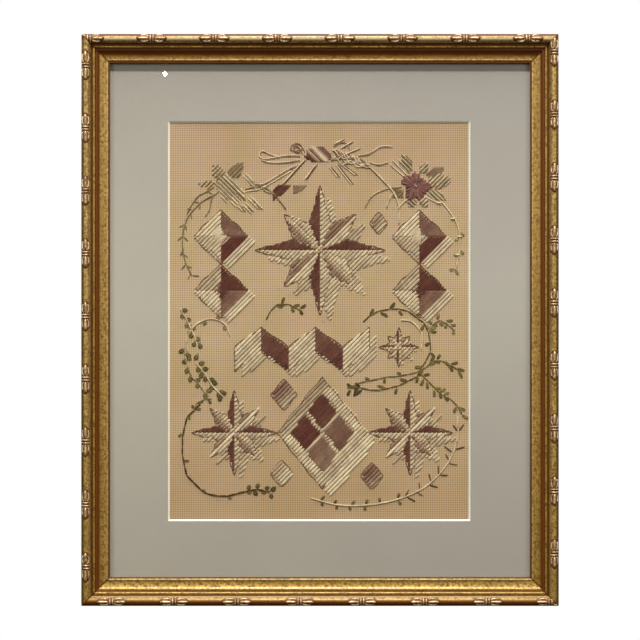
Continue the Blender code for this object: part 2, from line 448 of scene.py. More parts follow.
def paper_material():
    """Aged tan card: yellowed clouds, a pinkish cast in places, fine fibre, a few foxed spots, painted light
    across its middle and painted shade along its rows of holes.
    """
    tan = looks("paper").tan
    kit = Nodes("punched_card")
    fibre = kit.noise(1800.0, detail=4.0, roughness=0.7)
    yellowed = scaled(tan, 0.92, 0.90, 0.78)
    colour = kit.ramp(kit.noise(16.0, roughness=0.5), (0.35, yellowed), (0.62, tuple(tan)))
    colour = kit.fleck(colour, kit.noise(34.0, detail=2.0), 0.45, 0.75, 0.6, scaled(tan, 1.02, 0.92, 0.95))
    # painted light: lighter across the middle, darker towards the foot and the top, and bluer towards the
    # top
    colour = kit.times(colour, kit.ramp(
        kit.reach(), (0.18, (0.95, 0.95, 0.92)), (0.45, (1.05, 1.10, 1.12)), (0.65, (1.05, 1.12, 1.16)),
        (0.82, (0.97, 0.98, 1.05))))
    colour = kit.fleck(colour, kit.noise(150.0, detail=1.0), 0.70, 0.78, 0.35, scaled(yellowed, 0.6))
    colour = kit.fleck(colour, fibre, 0.4, 0.85, 0.22, scaled(tan, 0.72))
    # painted shade along the rows and columns of holes
    colour = kit.fleck(colour, kit.hole_row_shade(looks("paper").pitch), 0.45, 1.0, 0.24, scaled(tan, 0.45))
    return kit.finish(colour, kit.bump(fibre, 0.25, 0.1 * MM), 0.87)


def board_material():
    """Brown backing board with flecks, with painted shade on the side that faces the paper, which shows only
    through the holes.
    """
    board = looks("paper").board
    kit = Nodes("backing_card")
    fleck = kit.noise(900.0, detail=4.0, roughness=0.7, stretch=(1.0, 1.0, 0.4))
    colour = kit.ramp(kit.noise(22.0), (0.3, scaled(board, 0.88)), (0.7, tuple(board)))
    colour = kit.fleck(colour, fleck, 0.45, 0.8, 0.4, scaled(board, 0.55))
    # painted shade: the face towards the paper, seen only through the holes, is coloured darker than the
    # rest
    normal = kit.add("NewGeometry").outputs["True Normal"]
    front = kit.math("LESS_THAN", kit.part("Y", normal), -0.5)
    colour = kit.mix(front, colour, kit.ramp(fleck, (0.3, (0.13, 0.075, 0.04)), (0.8, (0.18, 0.11, 0.06))))
    return kit.finish(colour, kit.bump(fleck, 0.3, 0.2 * MM), 0.92)


def wool_material(name, *shades):
    """Wool whose colour runs along the shade attribute, with a soft sheen and fine fibre."""
    kit = Nodes(name)
    spread = [(number / (len(shades) - 1), tuple(shade)) for number, shade in enumerate(shades)]
    paler = [(place, tuple(min(1.0, c * 1.45 + 0.01) for c in shade)) for place, shade in spread]
    fibre = kit.noise(2600.0, roughness=0.7)
    shade = kit.attribute("shade")
    colour = kit.ramp(shade, *spread)
    colour = kit.fleck(colour, kit.noise(260.0, detail=2.0), 0.45, 0.8, 0.7, kit.ramp(shade, *paler))
    uneven = kit.ramp(kit.noise(110.0, detail=2.0), (0.3, 0.55), (0.6, 0.0))
    colour = kit.mix(uneven, colour, kit.times(colour, (0.55, 0.5, 0.55)))
    colour = kit.mix(kit.ramp(fibre, (0.35, 0.30), (0.7, 0.0)), colour, (0.03, 0.016, 0.010))
    return kit.finish(colour, kit.bump(fibre, 0.5, 0.25 * MM), 0.72, Specular_IOR_Level=0.25,
                      Sheen_Weight=0.04, Sheen_Roughness=0.45)


def ellipse(centre, radii, start, end, facets):
    """Points of an ellipse from one angle to another, both ends with them."""
    points = []
    for step in range(facets + 1):
        angle = math.radians(start + (end - start) * step / facets)
        points.append((centre[0] + radii[0] * math.cos(angle), centre[1] + radii[1] * math.sin(angle)))
    return points


def moulding_section(crown_wear_and_highlight, lean, fall, inner_fall, groove_patina_and_shade, cove_patina_and_shade, lip_patina_and_shade):
    """The rail's section as (across, forward, hollow) from its rear outer corner to the rabbet's, hollow
    being how its gilding is toned, painted shade and painted highlight included.
    """
    m = looks("moulding")
    fillet_start = m.roll_width + m.groove_width
    fillet_middle = fillet_start + m.fillet_width / 2
    bead_patina_and_shade = 0.9 * groove_patina_and_shade
    step_start = fillet_start + m.fillet_width
    step_level = m.shoulder - m.step_drop
    cove_start = step_start + m.step_width
    cove_end = cove_start + m.cove_width
    cove_level = step_level - m.cove_drop
    roll = ellipse((m.roll_width / 2, m.shoulder), (m.roll_width / 2, m.roll_rise), 180, 0, 32)
    fillet = ellipse((fillet_middle, m.shoulder), (m.fillet_width / 2, m.fillet_rise), 180, 0, 12)
    cove = ellipse((cove_end, step_level), (m.cove_width, m.cove_drop), 180, 270, 18)
    lip = ellipse((cove_end + m.lip_width / 2, cove_level), (m.lip_width / 2, m.lip_rise), 180, 0, 10)
    rear_edge = 0.7
    outer_side = 0.32
    rabbet = 0.5
    section = [(0.0, 0.6 * MM, rear_edge), (0.0, 3.0 * MM, outer_side),
               (0.0, m.shoulder - 2.0 * MM, outer_side)]
    # each part's tone at its start, middle and end: bole in the hollows and rubbed gold on the heights, with
    # painted shade and painted highlight that differ rail by rail
    for points, start, middle, end, spread in (
            (roll, 1.1, crown_wear_and_highlight, groove_patina_and_shade, inner_fall),
            (fillet, bead_patina_and_shade, 0.20, bead_patina_and_shade, 3.0),
            ([(step_start, step_level)], groove_patina_and_shade, groove_patina_and_shade, groove_patina_and_shade, 1.0),
            (cove, groove_patina_and_shade, cove_patina_and_shade, 0.3 * cove_patina_and_shade, 1.0),
            (lip, 0.15, lip_patina_and_shade, bead_patina_and_shade, 3.0),
            # the flat at the sight edge is darkened: a painted shadow in the gap above the glass
            ([(RAIL_WIDTH, cove_level)], groove_patina_and_shade, groove_patina_and_shade, groove_patina_and_shade, 1.0)):
        last = max(1, len(points) - 1)
        for number, (across, forward) in enumerate(points):
            palest = lean if points is roll else 0.0
            side = 2 * number / last - 1 - palest
            side /= 1 + palest if side < 0 else 1 - palest
            edge = start if side < 0 else end
            power = fall if side < 0 and points is roll else spread
            section.append((across, forward, middle + (edge - middle) * abs(side) ** power))
    section += [(RAIL_WIDTH, RABBET_DEPTH, rabbet), (RABBET_WALL, RABBET_DEPTH, rabbet)]
    return section


RAILS = (
    # name, turn about Y in degrees, motif shift along the rail, then how its gilding is toned:
    # the roll's palest line, how far inwards that lies, how sharply the roll darkens outwards
    # and inwards, the grooves, the cove and the lip. Besides toning in the hollows and wear on
    # the heights, these hold painted light: a painted highlight on the top and bottom rolls,
    # painted shade in the top rail's cove and on its lip, and grooves and cove painted lighter
    # on the bottom rail.
    ("rail_top", 0, 17.4 * MM, (-0.60, 0.0, 0.4, 1.2, 1.0, 0.75, 0.35)),
    ("rail_right", 90, -15.2 * MM, (-0.12, 0.30, 1.5, 6.0, 1.0, 0.38, -0.16)),
    ("rail_bottom", 180, 18.0 * MM, (-0.70, 0.70, 0.35, 6.0, 0.45, 0.03, -0.16)),
    ("rail_left", 270, 3.4 * MM, (-0.12, 0.30, 1.5, 6.0, 1.0, 0.36, -0.16)),
)


def rail_matrix(turn):
    """Takes (along, depth, outwards from the middle) to its place round the frame."""
    return Matrix.Translation(CENTRE) @ Matrix.Rotation(math.radians(turn), 4, "Y")


def rail_reach(turn):
    """Half of the frame's size across the rail and half of its size along the rail."""
    upright = turn % 180 == 90
    half = (OUTER_WIDTH / 2, OUTER_HEIGHT / 2)
    return half if upright else half[::-1]


def mitre_end(side, reach, half_length, matrix):
    """Cuts one end of what is being edited at 45 degrees, and eases the frame's outer corner."""
    turned = matrix.to_3x3()
    edge = 1.3 * MM
    joint = 0.05 * MM
    for inset, outwards, ends in ((edge, -1.0, False), (joint, -1.0, True), (edge, 2.2, True)):
        corner = matrix @ Vector((side * (half_length - inset), 0.0, reach))
        normal = turned @ Vector((side, 0.0, outwards))
        bpy.ops.mesh.select_all(action="SELECT")
        bpy.ops.mesh.bisect(plane_co=corner, plane_no=normal, clear_outer=ends, use_fill=ends)


def tone_mitres(made, reach, half_length, matrix):
    """Darkens the edge of the joint at both ends of a rail."""
    darkest = 1.1
    back = matrix.inverted()
    tones = made.data.attributes["hollow"].data
    for vertex in made.data.vertices:
        spot = back @ vertex.co
        if half_length - abs(spot.x) - (reach - spot.z) < HAIR:
            tones[vertex.index].value = darkest


def build_rail(name, turn, tones, gilt, wood):
    """One length of moulding, drawn out edge by edge round its section and then mitred."""
    reach, half_length = rail_reach(turn)
    matrix = rail_matrix(turn)
    turned = matrix.to_3x3()
    deselect()
    rear = matrix @ Vector((0.0, 0.0, reach - RABBET_WALL / 2))
    bpy.ops.mesh.primitive_plane_add(size=1.0, location=rear)
    made = bpy.context.object
    made.name = name + "_gilt"
    across = Matrix((turned @ Vector((1, 0, 0)), turned @ Vector((0, 0, 1)), Vector((0, 1, 0)))).transposed()
    size = Matrix.Diagonal((2 * half_length, RABBET_WALL, 1.0))
    made.data.transform((across @ size).to_4x4())
    place_in_mesh(made)
    bpy.ops.object.mode_set(mode="EDIT")
    bpy.ops.mesh.select_mode(type="EDGE")
    bpy.ops.mesh.select_all(action="DESELECT")
    bm = bmesh.from_edit_mesh(made.data)
    bm.verts.layers.float.new("hollow")
    back = matrix.inverted()
    for edge in bm.edges:
        edge.select = all((back @ v.co).z > reach - 0.01 * MM for v in edge.verts)
    bm.select_flush_mode()
    bmesh.update_edit_mesh(made.data)
    before = Vector((0.0, 0.0))
    for across_rail, forward, hollow in moulding_section(*tones):
        step = turned @ Vector((0.0, before.y - forward, before.x - across_rail))
        bpy.ops.mesh.extrude_region_move(TRANSFORM_OT_translate={"value": step})
        before = Vector((across_rail, forward))
        bm = bmesh.from_edit_mesh(made.data)
        layer = bm.verts.layers.float["hollow"]
        for vertex in bm.verts:
            if vertex.select:
                vertex[layer] = hollow
    step = turned @ Vector((0.0, before.y, 0.0))
    bpy.ops.mesh.extrude_region_move(TRANSFORM_OT_translate={"value": step})
    bpy.ops.mesh.select_all(action="SELECT")
    bpy.ops.mesh.remove_doubles(threshold=0.02 * MM)
    for side in (-1, 1):
        mitre_end(side, reach, half_length, matrix)
    bpy.ops.mesh.select_all(action="SELECT")
    bpy.ops.mesh.normals_make_consistent(inside=False)
    bpy.ops.object.mode_set(mode="OBJECT")
    tone_mitres(made, reach, half_length, matrix)
    made.data.materials.append(gilt)
    made.data.materials.append(wood)
    for face in made.data.polygons:
        corners = [back @ made.data.vertices[v].co for v in face.vertices]
        inner = all(reach - corner.z > RABBET_WALL - HAIR for corner in corners)
        rabbet = inner and all(-corner.y < RABBET_DEPTH + HAIR for corner in corners)
        rear = max(corner.y for corner in corners) > -HAIR and abs(face.normal.y) > FACING
        mitred = abs(abs((turned.inverted() @ face.normal).x) - math.sqrt(0.5)) < 0.01
        face.material_index = 1 if rabbet or rear or mitred else 0
    made.data.shade_smooth()
    made.data.set_sharp_from_angle(angle=math.radians(38))
    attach(made, BODY)
    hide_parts(name)


def pressed_bud(rings, length, width, rise):
    """A sphere drawn out ring by ring into a leaf lying along X, its Y a turn round the roll."""
    deselect()
    bpy.ops.mesh.primitive_uv_sphere_add(segments=12, ring_count=len(rings) + 1, radius=1.0,
                                         rotation=(0.0, math.radians(90), 0.0))
    made = bpy.context.object
    place_in_mesh(made)
    levels = sorted({round(v.co.x, 4) for v in made.data.vertices})
    for vertex in made.data.vertices:
        level = levels.index(round(vertex.co.x, 4))
        place, share, lift, aside = rings[min(max(level, 1), len(rings)) - 1]
        girth = math.hypot(vertex.co.y, vertex.co.z)
        if 0 < level <= len(rings):
            vertex.co = (place * length, vertex.co.y / girth * share * width + math.radians(aside),
                         vertex.co.z / girth * lift * rise)
        else:
            vertex.co = (0.0 if level == 0 else length, math.radians(aside), 0.0)
    return made


def pressed_band(half_width, rise, reach, corner):
    """A flat bar across the roll with rounded ends: X runs along the roll, Y is the turn round it."""
    deselect()
    bpy.ops.mesh.primitive_cylinder_add(vertices=12, radius=1.0, depth=2.0, end_fill_type="NGON",
                                        rotation=(math.radians(90), 0.0, 0.0))
    made = bpy.context.object
    place_in_mesh(made)
    bpy.ops.object.mode_set(mode="EDIT")
    for number in range(1, 10):
        bpy.ops.mesh.select_all(action="SELECT")
        bpy.ops.mesh.bisect(plane_co=(0.0, -1 + number / 5, 0.0), plane_no=(0.0, 1.0, 0.0))
    bpy.ops.object.mode_set(mode="OBJECT")
    for vertex in made.data.vertices:
        pinch = 1 - corner * abs(vertex.co.y) ** 5
        vertex.co = (vertex.co.x * half_width * pinch, vertex.co.y * reach, vertex.co.z * rise * pinch)
    return made


def wrap_on_roll(made, along, way, hollow):
    """Bends a flat pressed shape round the roll, and keeps how deep its gilding is toned."""
    m = looks("moulding")
    half = m.roll_width / 2
    for vertex in made.data.vertices:
        turn = vertex.co.y
        lift = vertex.co.z
        normal = Vector((math.sin(turn) / half, math.cos(turn) / m.roll_rise)).normalized()
        across = half * (1 + math.sin(turn)) + lift * normal.x
        forward = m.shoulder + m.roll_rise * math.cos(turn) + lift * normal.y
        vertex.co = (along + way * vertex.co.x, -forward, -across)
    tone = made.data.attributes.new("hollow", "FLOAT", "POINT")
    for item in tone.data:
        item.value = hollow


BUD_RINGS = (
    # share of the length, share of the width, share of the rise, turn from the crown in degrees
    (0.03, 0.40, 0.50, 0),
    (0.12, 0.66, 0.85, 0),
    (0.32, 0.74, 0.95, 0),
    (0.54, 0.84, 1.00, 0),
    (0.74, 1.00, 1.05, 0),
    (0.88, 0.88, 1.00, 0),
    (0.97, 0.45, 0.70, 0),
)
PETAL_RINGS = (
    (0.02, 0.55, 0.50, 20),
    (0.12, 0.90, 0.90, 29),
    (0.30, 1.00, 1.00, 35),
    (0.55, 1.00, 1.00, 37),
    (0.78, 0.90, 0.95, 34),
    (0.94, 0.55, 0.60, 29),
)
GROUND_RINGS = (
    (0.01, 0.80, 1.00, 0),
    (0.12, 1.00, 1.00, 0),
    (0.50, 1.08, 1.00, 0),
    (0.74, 0.98, 1.00, 0),
    (0.90, 0.66, 1.00, 0),
    (0.98, 0.28, 1.00, 0),
)
HUSK_PARTS = (
    # rings, share of the husk's length, half width in degrees of the roll, rise, tone of the gilding
    (GROUND_RINGS, 1.12, 46, 0.10 * MM, 1.0),
    (BUD_RINGS, 1.0, 15.5, 1.35 * MM, 0.0),
    ([(place, width, rise, -turn) for place, width, rise, turn in PETAL_RINGS], 0.80, 9.0, 0.90 * MM, 0.05),
    (PETAL_RINGS, 0.80, 9.0, 0.90 * MM, 0.05),
)


def press_husk(way):
    """One husk with its collar, for one side of a motif's middle, in the rail's own directions."""
    m = looks("moulding")
    start = way * m.husk_start
    pieces = []
    for rings, share, half_width, rise, tone in HUSK_PARTS:
        bud = pressed_bud(rings, m.husk_length * share, math.radians(half_width), rise)
        wrap_on_roll(bud, start, way, tone)
        pieces.append(bud)
    bed = pressed_band(m.husk_start * 0.6, 0.12 * MM, math.radians(48), 0.3)
    wrap_on_roll(bed, start * 0.5, way, 0.9)
    collar = pressed_band(0.72 * MM, 0.80 * MM, math.radians(44), 0.35)
    wrap_on_roll(collar, way * 1.25 * MM, way, 0.0)
    pieces += [bed, collar]
    made = join(pieces, "pressed_husk")
    bpy.ops.object.mode_set(mode="EDIT")
    bpy.ops.mesh.select_all(action="SELECT")
    bpy.ops.mesh.normals_make_consistent(inside=False)
    bpy.ops.object.mode_set(mode="OBJECT")
    return made


def build_ornament(name, turn, shift, husks, gilt):
    """The pressed husks and collars of one rail, seated on its roll and cut at its mitres."""
    m = looks("moulding")
    reach, half_length = rail_reach(turn)
    matrix = rail_matrix(turn)
    count = math.ceil(half_length / m.motif_pitch)
    pieces = []
    for number in range(-count, count + 1):
        middle = shift + number * m.motif_pitch
        for way, husk in husks.items():
            tip = middle + way * (m.husk_start + m.husk_length)
            if min(abs(tip), abs(middle)) > half_length - 0.3 * m.roll_width:
                continue
            copy = linked("husk", husk.data.copy())
            copy.data.transform(matrix @ Matrix.Translation((middle, 0.0, reach)))
            pieces.append(copy)
    made = join(pieces, name.replace("rail", "ornament"))
    bpy.ops.object.mode_set(mode="EDIT")
    for side in (-1, 1):
        mitre_end(side, reach, half_length, matrix)
    bpy.ops.object.mode_set(mode="OBJECT")
    made.data.materials.clear()
    made.data.materials.append(gilt)
    made.data.shade_smooth()
    made.data.set_sharp_from_angle(angle=math.radians(60))
    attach(made, BODY)


class FRAMED_OT_moulding(bpy.types.Operator):
    """Draws out the four lengths of gilt moulding"""

    bl_idname = "framed.moulding"
    bl_label = "Gilt moulding"

    def execute(self, context):
        gilt = gilt_material("gilt_leaf", looks("moulding").gold, 0.16 * MM)
        level = bare_wood_material("moulding_wood_level", (1.0, 8.0, 8.0))
        upright = bare_wood_material("moulding_wood_upright", (8.0, 8.0, 1.0))
        for name, turn, _, tones in RAILS:
            build_rail(name, turn, tones, gilt, upright if turn % 180 else level)
        return {"FINISHED"}


class FRAMED_OT_ornament(bpy.types.Operator):
    """Presses the husks and collars onto the moulding's roll"""

    bl_idname = "framed.ornament"
    bl_label = "Pressed ornament"

    def execute(self, context):
        gilt = gilt_material("gilt_ornament", looks("moulding").pressed, 0.08 * MM)
        husks = {way: press_husk(way) for way in (-1, 1)}
        for name, turn, shift, _ in RAILS:
            build_ornament(name, turn, shift, husks, gilt)
        for husk in husks.values():
            bpy.data.objects.remove(husk)
        return {"FINISHED"}


def dress_solid(name, material):
    """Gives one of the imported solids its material."""
    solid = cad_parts[name].data
    solid.materials.clear()
    solid.materials.append(material)


class FRAMED_OT_glazing(bpy.types.Operator):
    """Finishes the glass"""

    bl_idname = "framed.glazing"
    bl_label = "Glass"

    def execute(self, context):
        dress_solid("glass", glass_material())
        return {"FINISHED"}


class FRAMED_OT_mat(bpy.types.Operator):
    """Cuts the mat board with its bevelled window"""

    bl_idname = "framed.mat"
    bl_label = "Mat board"

    def execute(self, context):
        m = looks("mat")
        thickness = MAT_HIGH.y - MAT_LOW.y
        deselect()
        bpy.ops.mesh.primitive_cube_add(size=1.0, location=(MAT_LOW + MAT_HIGH) / 2)
        made = bpy.context.object
        made.name = "mat_board_cut"
        made.data.transform(Matrix.Diagonal((*(MAT_HIGH - MAT_LOW), 1.0)))
        place_in_mesh(made)
        bpy.ops.object.mode_set(mode="EDIT")
        bpy.ops.mesh.select_mode(type="FACE")
        bpy.ops.mesh.select_all(action="DESELECT")
        bm = bmesh.from_edit_mesh(made.data)
        for face in bm.faces:
            face.select = face.normal.y < -FACING
        bmesh.update_edit_mesh(made.data)
        border = (MAT_HIGH.x - MAT_LOW.x - m.window_width) / 2 - thickness
        bpy.ops.mesh.inset(thickness=border, depth=0.0)
        bm = bmesh.from_edit_mesh(made.data)
        half_height = m.window_height / 2 + thickness
        for vertex in [v for v in bm.verts if v.select]:
            side = math.copysign(1.0, vertex.co.z - CENTRE.z)
            vertex.co.z = CENTRE.z + side * half_height - m.window_drop
            vertex.co.x -= m.window_aside
        bmesh.update_edit_mesh(made.data)
        bpy.ops.mesh.extrude_region_move(TRANSFORM_OT_translate={"value": (0.0, thickness, 0.0)})
        bm = bmesh.from_edit_mesh(made.data)
        for vertex in bm.verts:
            if vertex.select:
                vertex.co.x -= math.copysign(thickness, vertex.co.x)
                vertex.co.z -= math.copysign(thickness, vertex.co.z - CENTRE.z)
        ring = [v for v in bm.verts if v.select]
        bmesh.ops.delete(bm, geom=[f for f in bm.faces if f.select], context="FACES_ONLY")
        rear = [f for f in bm.faces if f.normal.y > FACING]
        outer = [v for f in rear for v in f.verts]
        bmesh.ops.delete(bm, geom=rear, context="FACES_ONLY")
        edges = [e for e in bm.edges if all(v in ring for v in e.verts) or all(v in outer for v in e.verts)]
        rims = [e for e in edges if len(e.link_faces) == 1]
        bmesh.ops.bridge_loops(bm, edges=rims)
        bmesh.ops.recalc_face_normals(bm, faces=bm.faces)
        bmesh.update_edit_mesh(made.data)
        bpy.ops.object.mode_set(mode="OBJECT")
        made.data.materials.append(mat_face_material())
        made.data.materials.append(mat_core_material())
        for face in made.data.polygons:
            face.material_index = 0 if face.normal.y < -FACING else 1
        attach(made, BODY)
        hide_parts("mat_board")
        return {"FINISHED"}


class FRAMED_OT_backing(bpy.types.Operator):
    """Finishes the backing board"""

    bl_idname = "framed.backing"
    bl_label = "Backing board"

    def execute(self, context):
        dress_solid("backing_board", board_material())
        return {"FINISHED"}


def paper_level(x, z):
    """The sheet's slow unevenness, in metres behind its flat place."""
    wave = np.sin(x * 31.0 + 0.6) * np.cos(z * 23.0 - 0.4) + 0.6 * np.sin(x * 12.0 - z * 17.0)
    return 0.05 * MM * wave


def punched_sheet():
    """The sheet with all its holes: six corners to a hole, strips of faces between the columns of holes."""
    p = looks("paper")
    columns = 2 * p.columns + 1
    rows = 2 * p.rows + 1
    turns = [math.radians(60 * k) for k in range(6)]
    i = np.arange(-p.columns, p.columns + 1)
    j = np.arange(-p.rows, p.rows + 1)
    cells = np.zeros((columns, rows, 6, 2))
    cells[..., 0] = (i[:, None, None] * p.pitch) + np.array([math.cos(turn) * p.hole / 2 for turn in turns])
    cells[..., 1] = (j[None, :, None] * p.pitch) + np.array([math.sin(turn) * p.hole / 2 for turn in turns])
    holes = cells.reshape(-1, 2)
    count = len(holes)
    index = np.arange(count).reshape(columns, rows, 6)
    left_chain = index[:, :, [5, 0, 1]].reshape(columns, -1)
    right_chain = index[:, :, [4, 3, 2]].reshape(columns, -1)
    half_width = PAPER_WIDTH / 2
    half_height = PAPER_HEIGHT / 2
    points = [holes]
    sides = []
    for chain, x in ((right_chain[0], -half_width), (left_chain[-1], half_width)):
        points.append(np.stack([np.full(len(chain), x), holes[chain, 1]], axis=1))
        sides.append(np.arange(count, count + len(chain)))
        count += len(chain)
    strips = zip([sides[0], *left_chain], [*right_chain, sides[1]])
    faces = [np.stack([low[:-1], high[:-1], high[1:], low[1:]], axis=1) for low, high in strips]
    between = np.stack([index[:, :-1, 2], index[:, :-1, 1], index[:, 1:, 5], index[:, 1:, 4]], axis=2)
    faces.append(between.reshape(-1, 4))
    for row, z, around in ((0, -half_height, [4, 5]), (-1, half_height, [2, 1])):
        edge = np.array([sides[0][row], *index[:, row, around].ravel(), sides[1][row]])
        known = np.concatenate(points)
        points.append(np.stack([known[edge, 0], np.full(len(edge), z)], axis=1))
        outer = np.arange(count, count + len(edge))
        count += len(edge)
        inner, rim = (edge, outer) if row else (outer, edge)
        faces.append(np.stack([inner[:-1], inner[1:], rim[1:], rim[:-1]], axis=1))
    flat = np.concatenate(points)
    x = flat[:, 0] + CENTRE.x
    z = flat[:, 1]
    corners = np.stack([x, PAPER_FRONT + paper_level(x, z), z + CENTRE.z], axis=1)
    return corners, np.concatenate(faces)


def mesh_from(name, corners, faces):
    """A mesh from corner places and four-cornered faces."""
    mesh = bpy.data.meshes.new(name)
    mesh.vertices.add(len(corners))
    mesh.vertices.foreach_set("co", np.asarray(corners, np.float32).ravel())
    mesh.loops.add(faces.size)
    mesh.loops.foreach_set("vertex_index", faces.astype(np.int32).ravel())
    mesh.polygons.add(len(faces))
    mesh.polygons.foreach_set("loop_start", np.arange(0, faces.size, faces.shape[1], dtype=np.int32))
    mesh.update(calc_edges=True)
    mesh.validate()
    return linked(name, mesh)


class FRAMED_OT_paper(bpy.types.Operator):
    """Makes the sheet of punched paper with every hole open"""

    bl_idname = "framed.paper"
    bl_label = "Punched paper"

    def execute(self, context):
        corners, faces = punched_sheet()
        made = mesh_from("punched_sheet", corners, faces)
        made.data.materials.append(paper_material())
        made.data.shade_smooth()
        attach(made, BODY)
        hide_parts("punched_paper")
        return {"FINISHED"}


class Skein:
    """Gathers the stitches of one piece and makes them one mesh."""

    SIDES = 9
    PLIES = 3
    SHORTEST = 0.5 * MM
    # what stays free between a stitch and the paper
    AIR = 0.05 * MM
    # how far the ends of a stitch go through the paper
    BEHIND = 0.7 * MM
    # how far from its ends a stitch is narrower
    TAPER = 1.9 * MM
    # the length from which a stitch stands at its fullest
    FULL_PUFF = 30.0 * MM

    def __init__(self, name, seed):
        self.name = name
        self.random = random.Random(seed)
        self.corners = []
        self.quads = []
        self.shades = []
        self.count = 0

    def lay(self, path, widths, heights, shade, ridge=0.10, twist=8.0 * MM):
        """One yarn along a path that lies near the paper, wider than high, with its plies as ridges."""
        path = np.asarray(path, float)
        along = np.gradient(path, axis=0)
        flat = along.copy()
        flat[:, 1] = 0.0
        upright = 0.05 * MM
        weak = np.linalg.norm(flat, axis=1) < upright
        if weak.any() and not weak.all():
            good = np.flatnonzero(~weak)
            for k in np.flatnonzero(weak):
                flat[k] = flat[good[np.argmin(np.abs(good - k))]]
        flat /= np.linalg.norm(flat, axis=1)[:, None]
        towards_viewer = np.array([0.0, -1.0, 0.0])
        side = np.cross(flat, towards_viewer)
        along /= np.linalg.norm(along, axis=1)[:, None]
        up = np.cross(side, along)
        steps = np.linalg.norm(np.diff(path, axis=0), axis=1)
        travelled = np.concatenate([[0.0], np.cumsum(steps)])
        phase = self.random.uniform(0, math.tau) + travelled / twist * math.tau
        theta = np.arange(self.SIDES) / self.SIDES * math.tau
        radius = 1 + ridge * np.cos(self.PLIES * (theta[None, :] - phase[:, None]))
        wide = (np.asarray(widths) / 2)[:, None] * radius * np.cos(theta)[None, :]
        high = (np.asarray(heights) / 2)[:, None] * radius * np.sin(theta)[None, :]
        rings = path[:, None, :] + side[:, None, :] * wide[..., None] + up[:, None, :] * high[..., None]
        number = len(path)
        index = self.count + np.arange(number * self.SIDES).reshape(number, self.SIDES)
        near = index[:-1]
        far = index[1:]
        quads = np.stack([near, np.roll(near, -1, 1), np.roll(far, -1, 1), far], axis=2)
        self.quads.append(quads.reshape(-1, 4))
        self.corners.append(rings.reshape(-1, 3))
        self.shades.append(np.repeat(np.broadcast_to(shade, number), self.SIDES))
        self.count += number * self.SIDES

    def stitch(self, start, end, width, height, shade, lift=0.0, bow=0.0):
        """A stitch that comes up through one hole and goes down through another."""
        a = hole(*start)
        run = hole(*end) - a
        length = run.length
        if length < self.SHORTEST:
            return
        rise = height / 2 + self.AIR + lift
        ramp = min(1.3 * MM, length * 0.3)
        front = [(0.0, -self.BEHIND), (0.10 * ramp, -0.1 * MM), (0.3 * ramp, 0.55 * rise),
                 (0.62 * ramp, 0.9 * rise), (ramp, rise)]
        inner = max(1, int(round((length - 2 * ramp) / (1.15 * MM))))
        profile = list(front)
        for k in range(1, inner):
            u = ramp + (length - 2 * ramp) * k / inner
            profile.append((u, rise + self.random.uniform(-0.04, 0.04) * MM))
        profile += [(length - u, h) for u, h in reversed(front)]
        unit = run / length
        aside = Vector((-unit.z, 0.0, unit.x))
        drift = self.random.uniform(-0.10, 0.10) * MM
        puff = min(1.0, length / self.FULL_PUFF)
        places = []
        widths = []
        heights = []
        for u, h in profile:
            belly = math.sin(math.pi * (u / length))
            spot = a + unit * u + aside * (drift * belly + bow * belly)
            places.append((spot.x, spot.y - h - 0.12 * MM * belly * puff, spot.z))
            edge = min(1.0, min(u, length - u) / self.TAPER)
            widths.append(width * (0.40 + 0.60 * edge ** 0.6))
            heights.append(height * (0.7 + 0.3 * edge))
        self.lay(places, widths, heights, shade)

    def finish(self, material):
        """Makes all that was laid one piece, with its shades kept for the material."""
        made = mesh_from(self.name, np.concatenate(self.corners), np.concatenate(self.quads))
        tone = made.data.attributes.new("shade", "FLOAT", "POINT")
        tone.data.foreach_set("value", np.clip(np.concatenate(self.shades), 0, 1).astype(np.float32))
        made.data.materials.append(material)
        made.data.shade_smooth()
        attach(made, BODY)


def hole(i, j):
    """Where a hole of the paper is: i columns right of the middle one and j rows above it."""
    pitch = looks("paper").pitch
    x = CENTRE.x + i * pitch
    z = j * pitch
    return Vector((x, PAPER_FRONT + float(paper_level(x, z)), CENTRE.z + z))


def spans(outline, line, slope):
    """Where the line i - slope * j = line crosses a closed outline, as pairs of i."""
    crossings = []
    off_corners = 0.0013
    offset = line + off_corners
    for (i0, j0), (i1, j1) in zip(outline, outline[1:] + outline[:1]):
        first = i0 - slope * j0 - offset
        second = i1 - slope * j1 - offset
        if (first < 0) != (second < 0):
            share = first / (first - second)
            crossings.append(i0 + (i1 - i0) * share)
    crossings.sort()
    return list(zip(crossings[::2], crossings[1::2]))


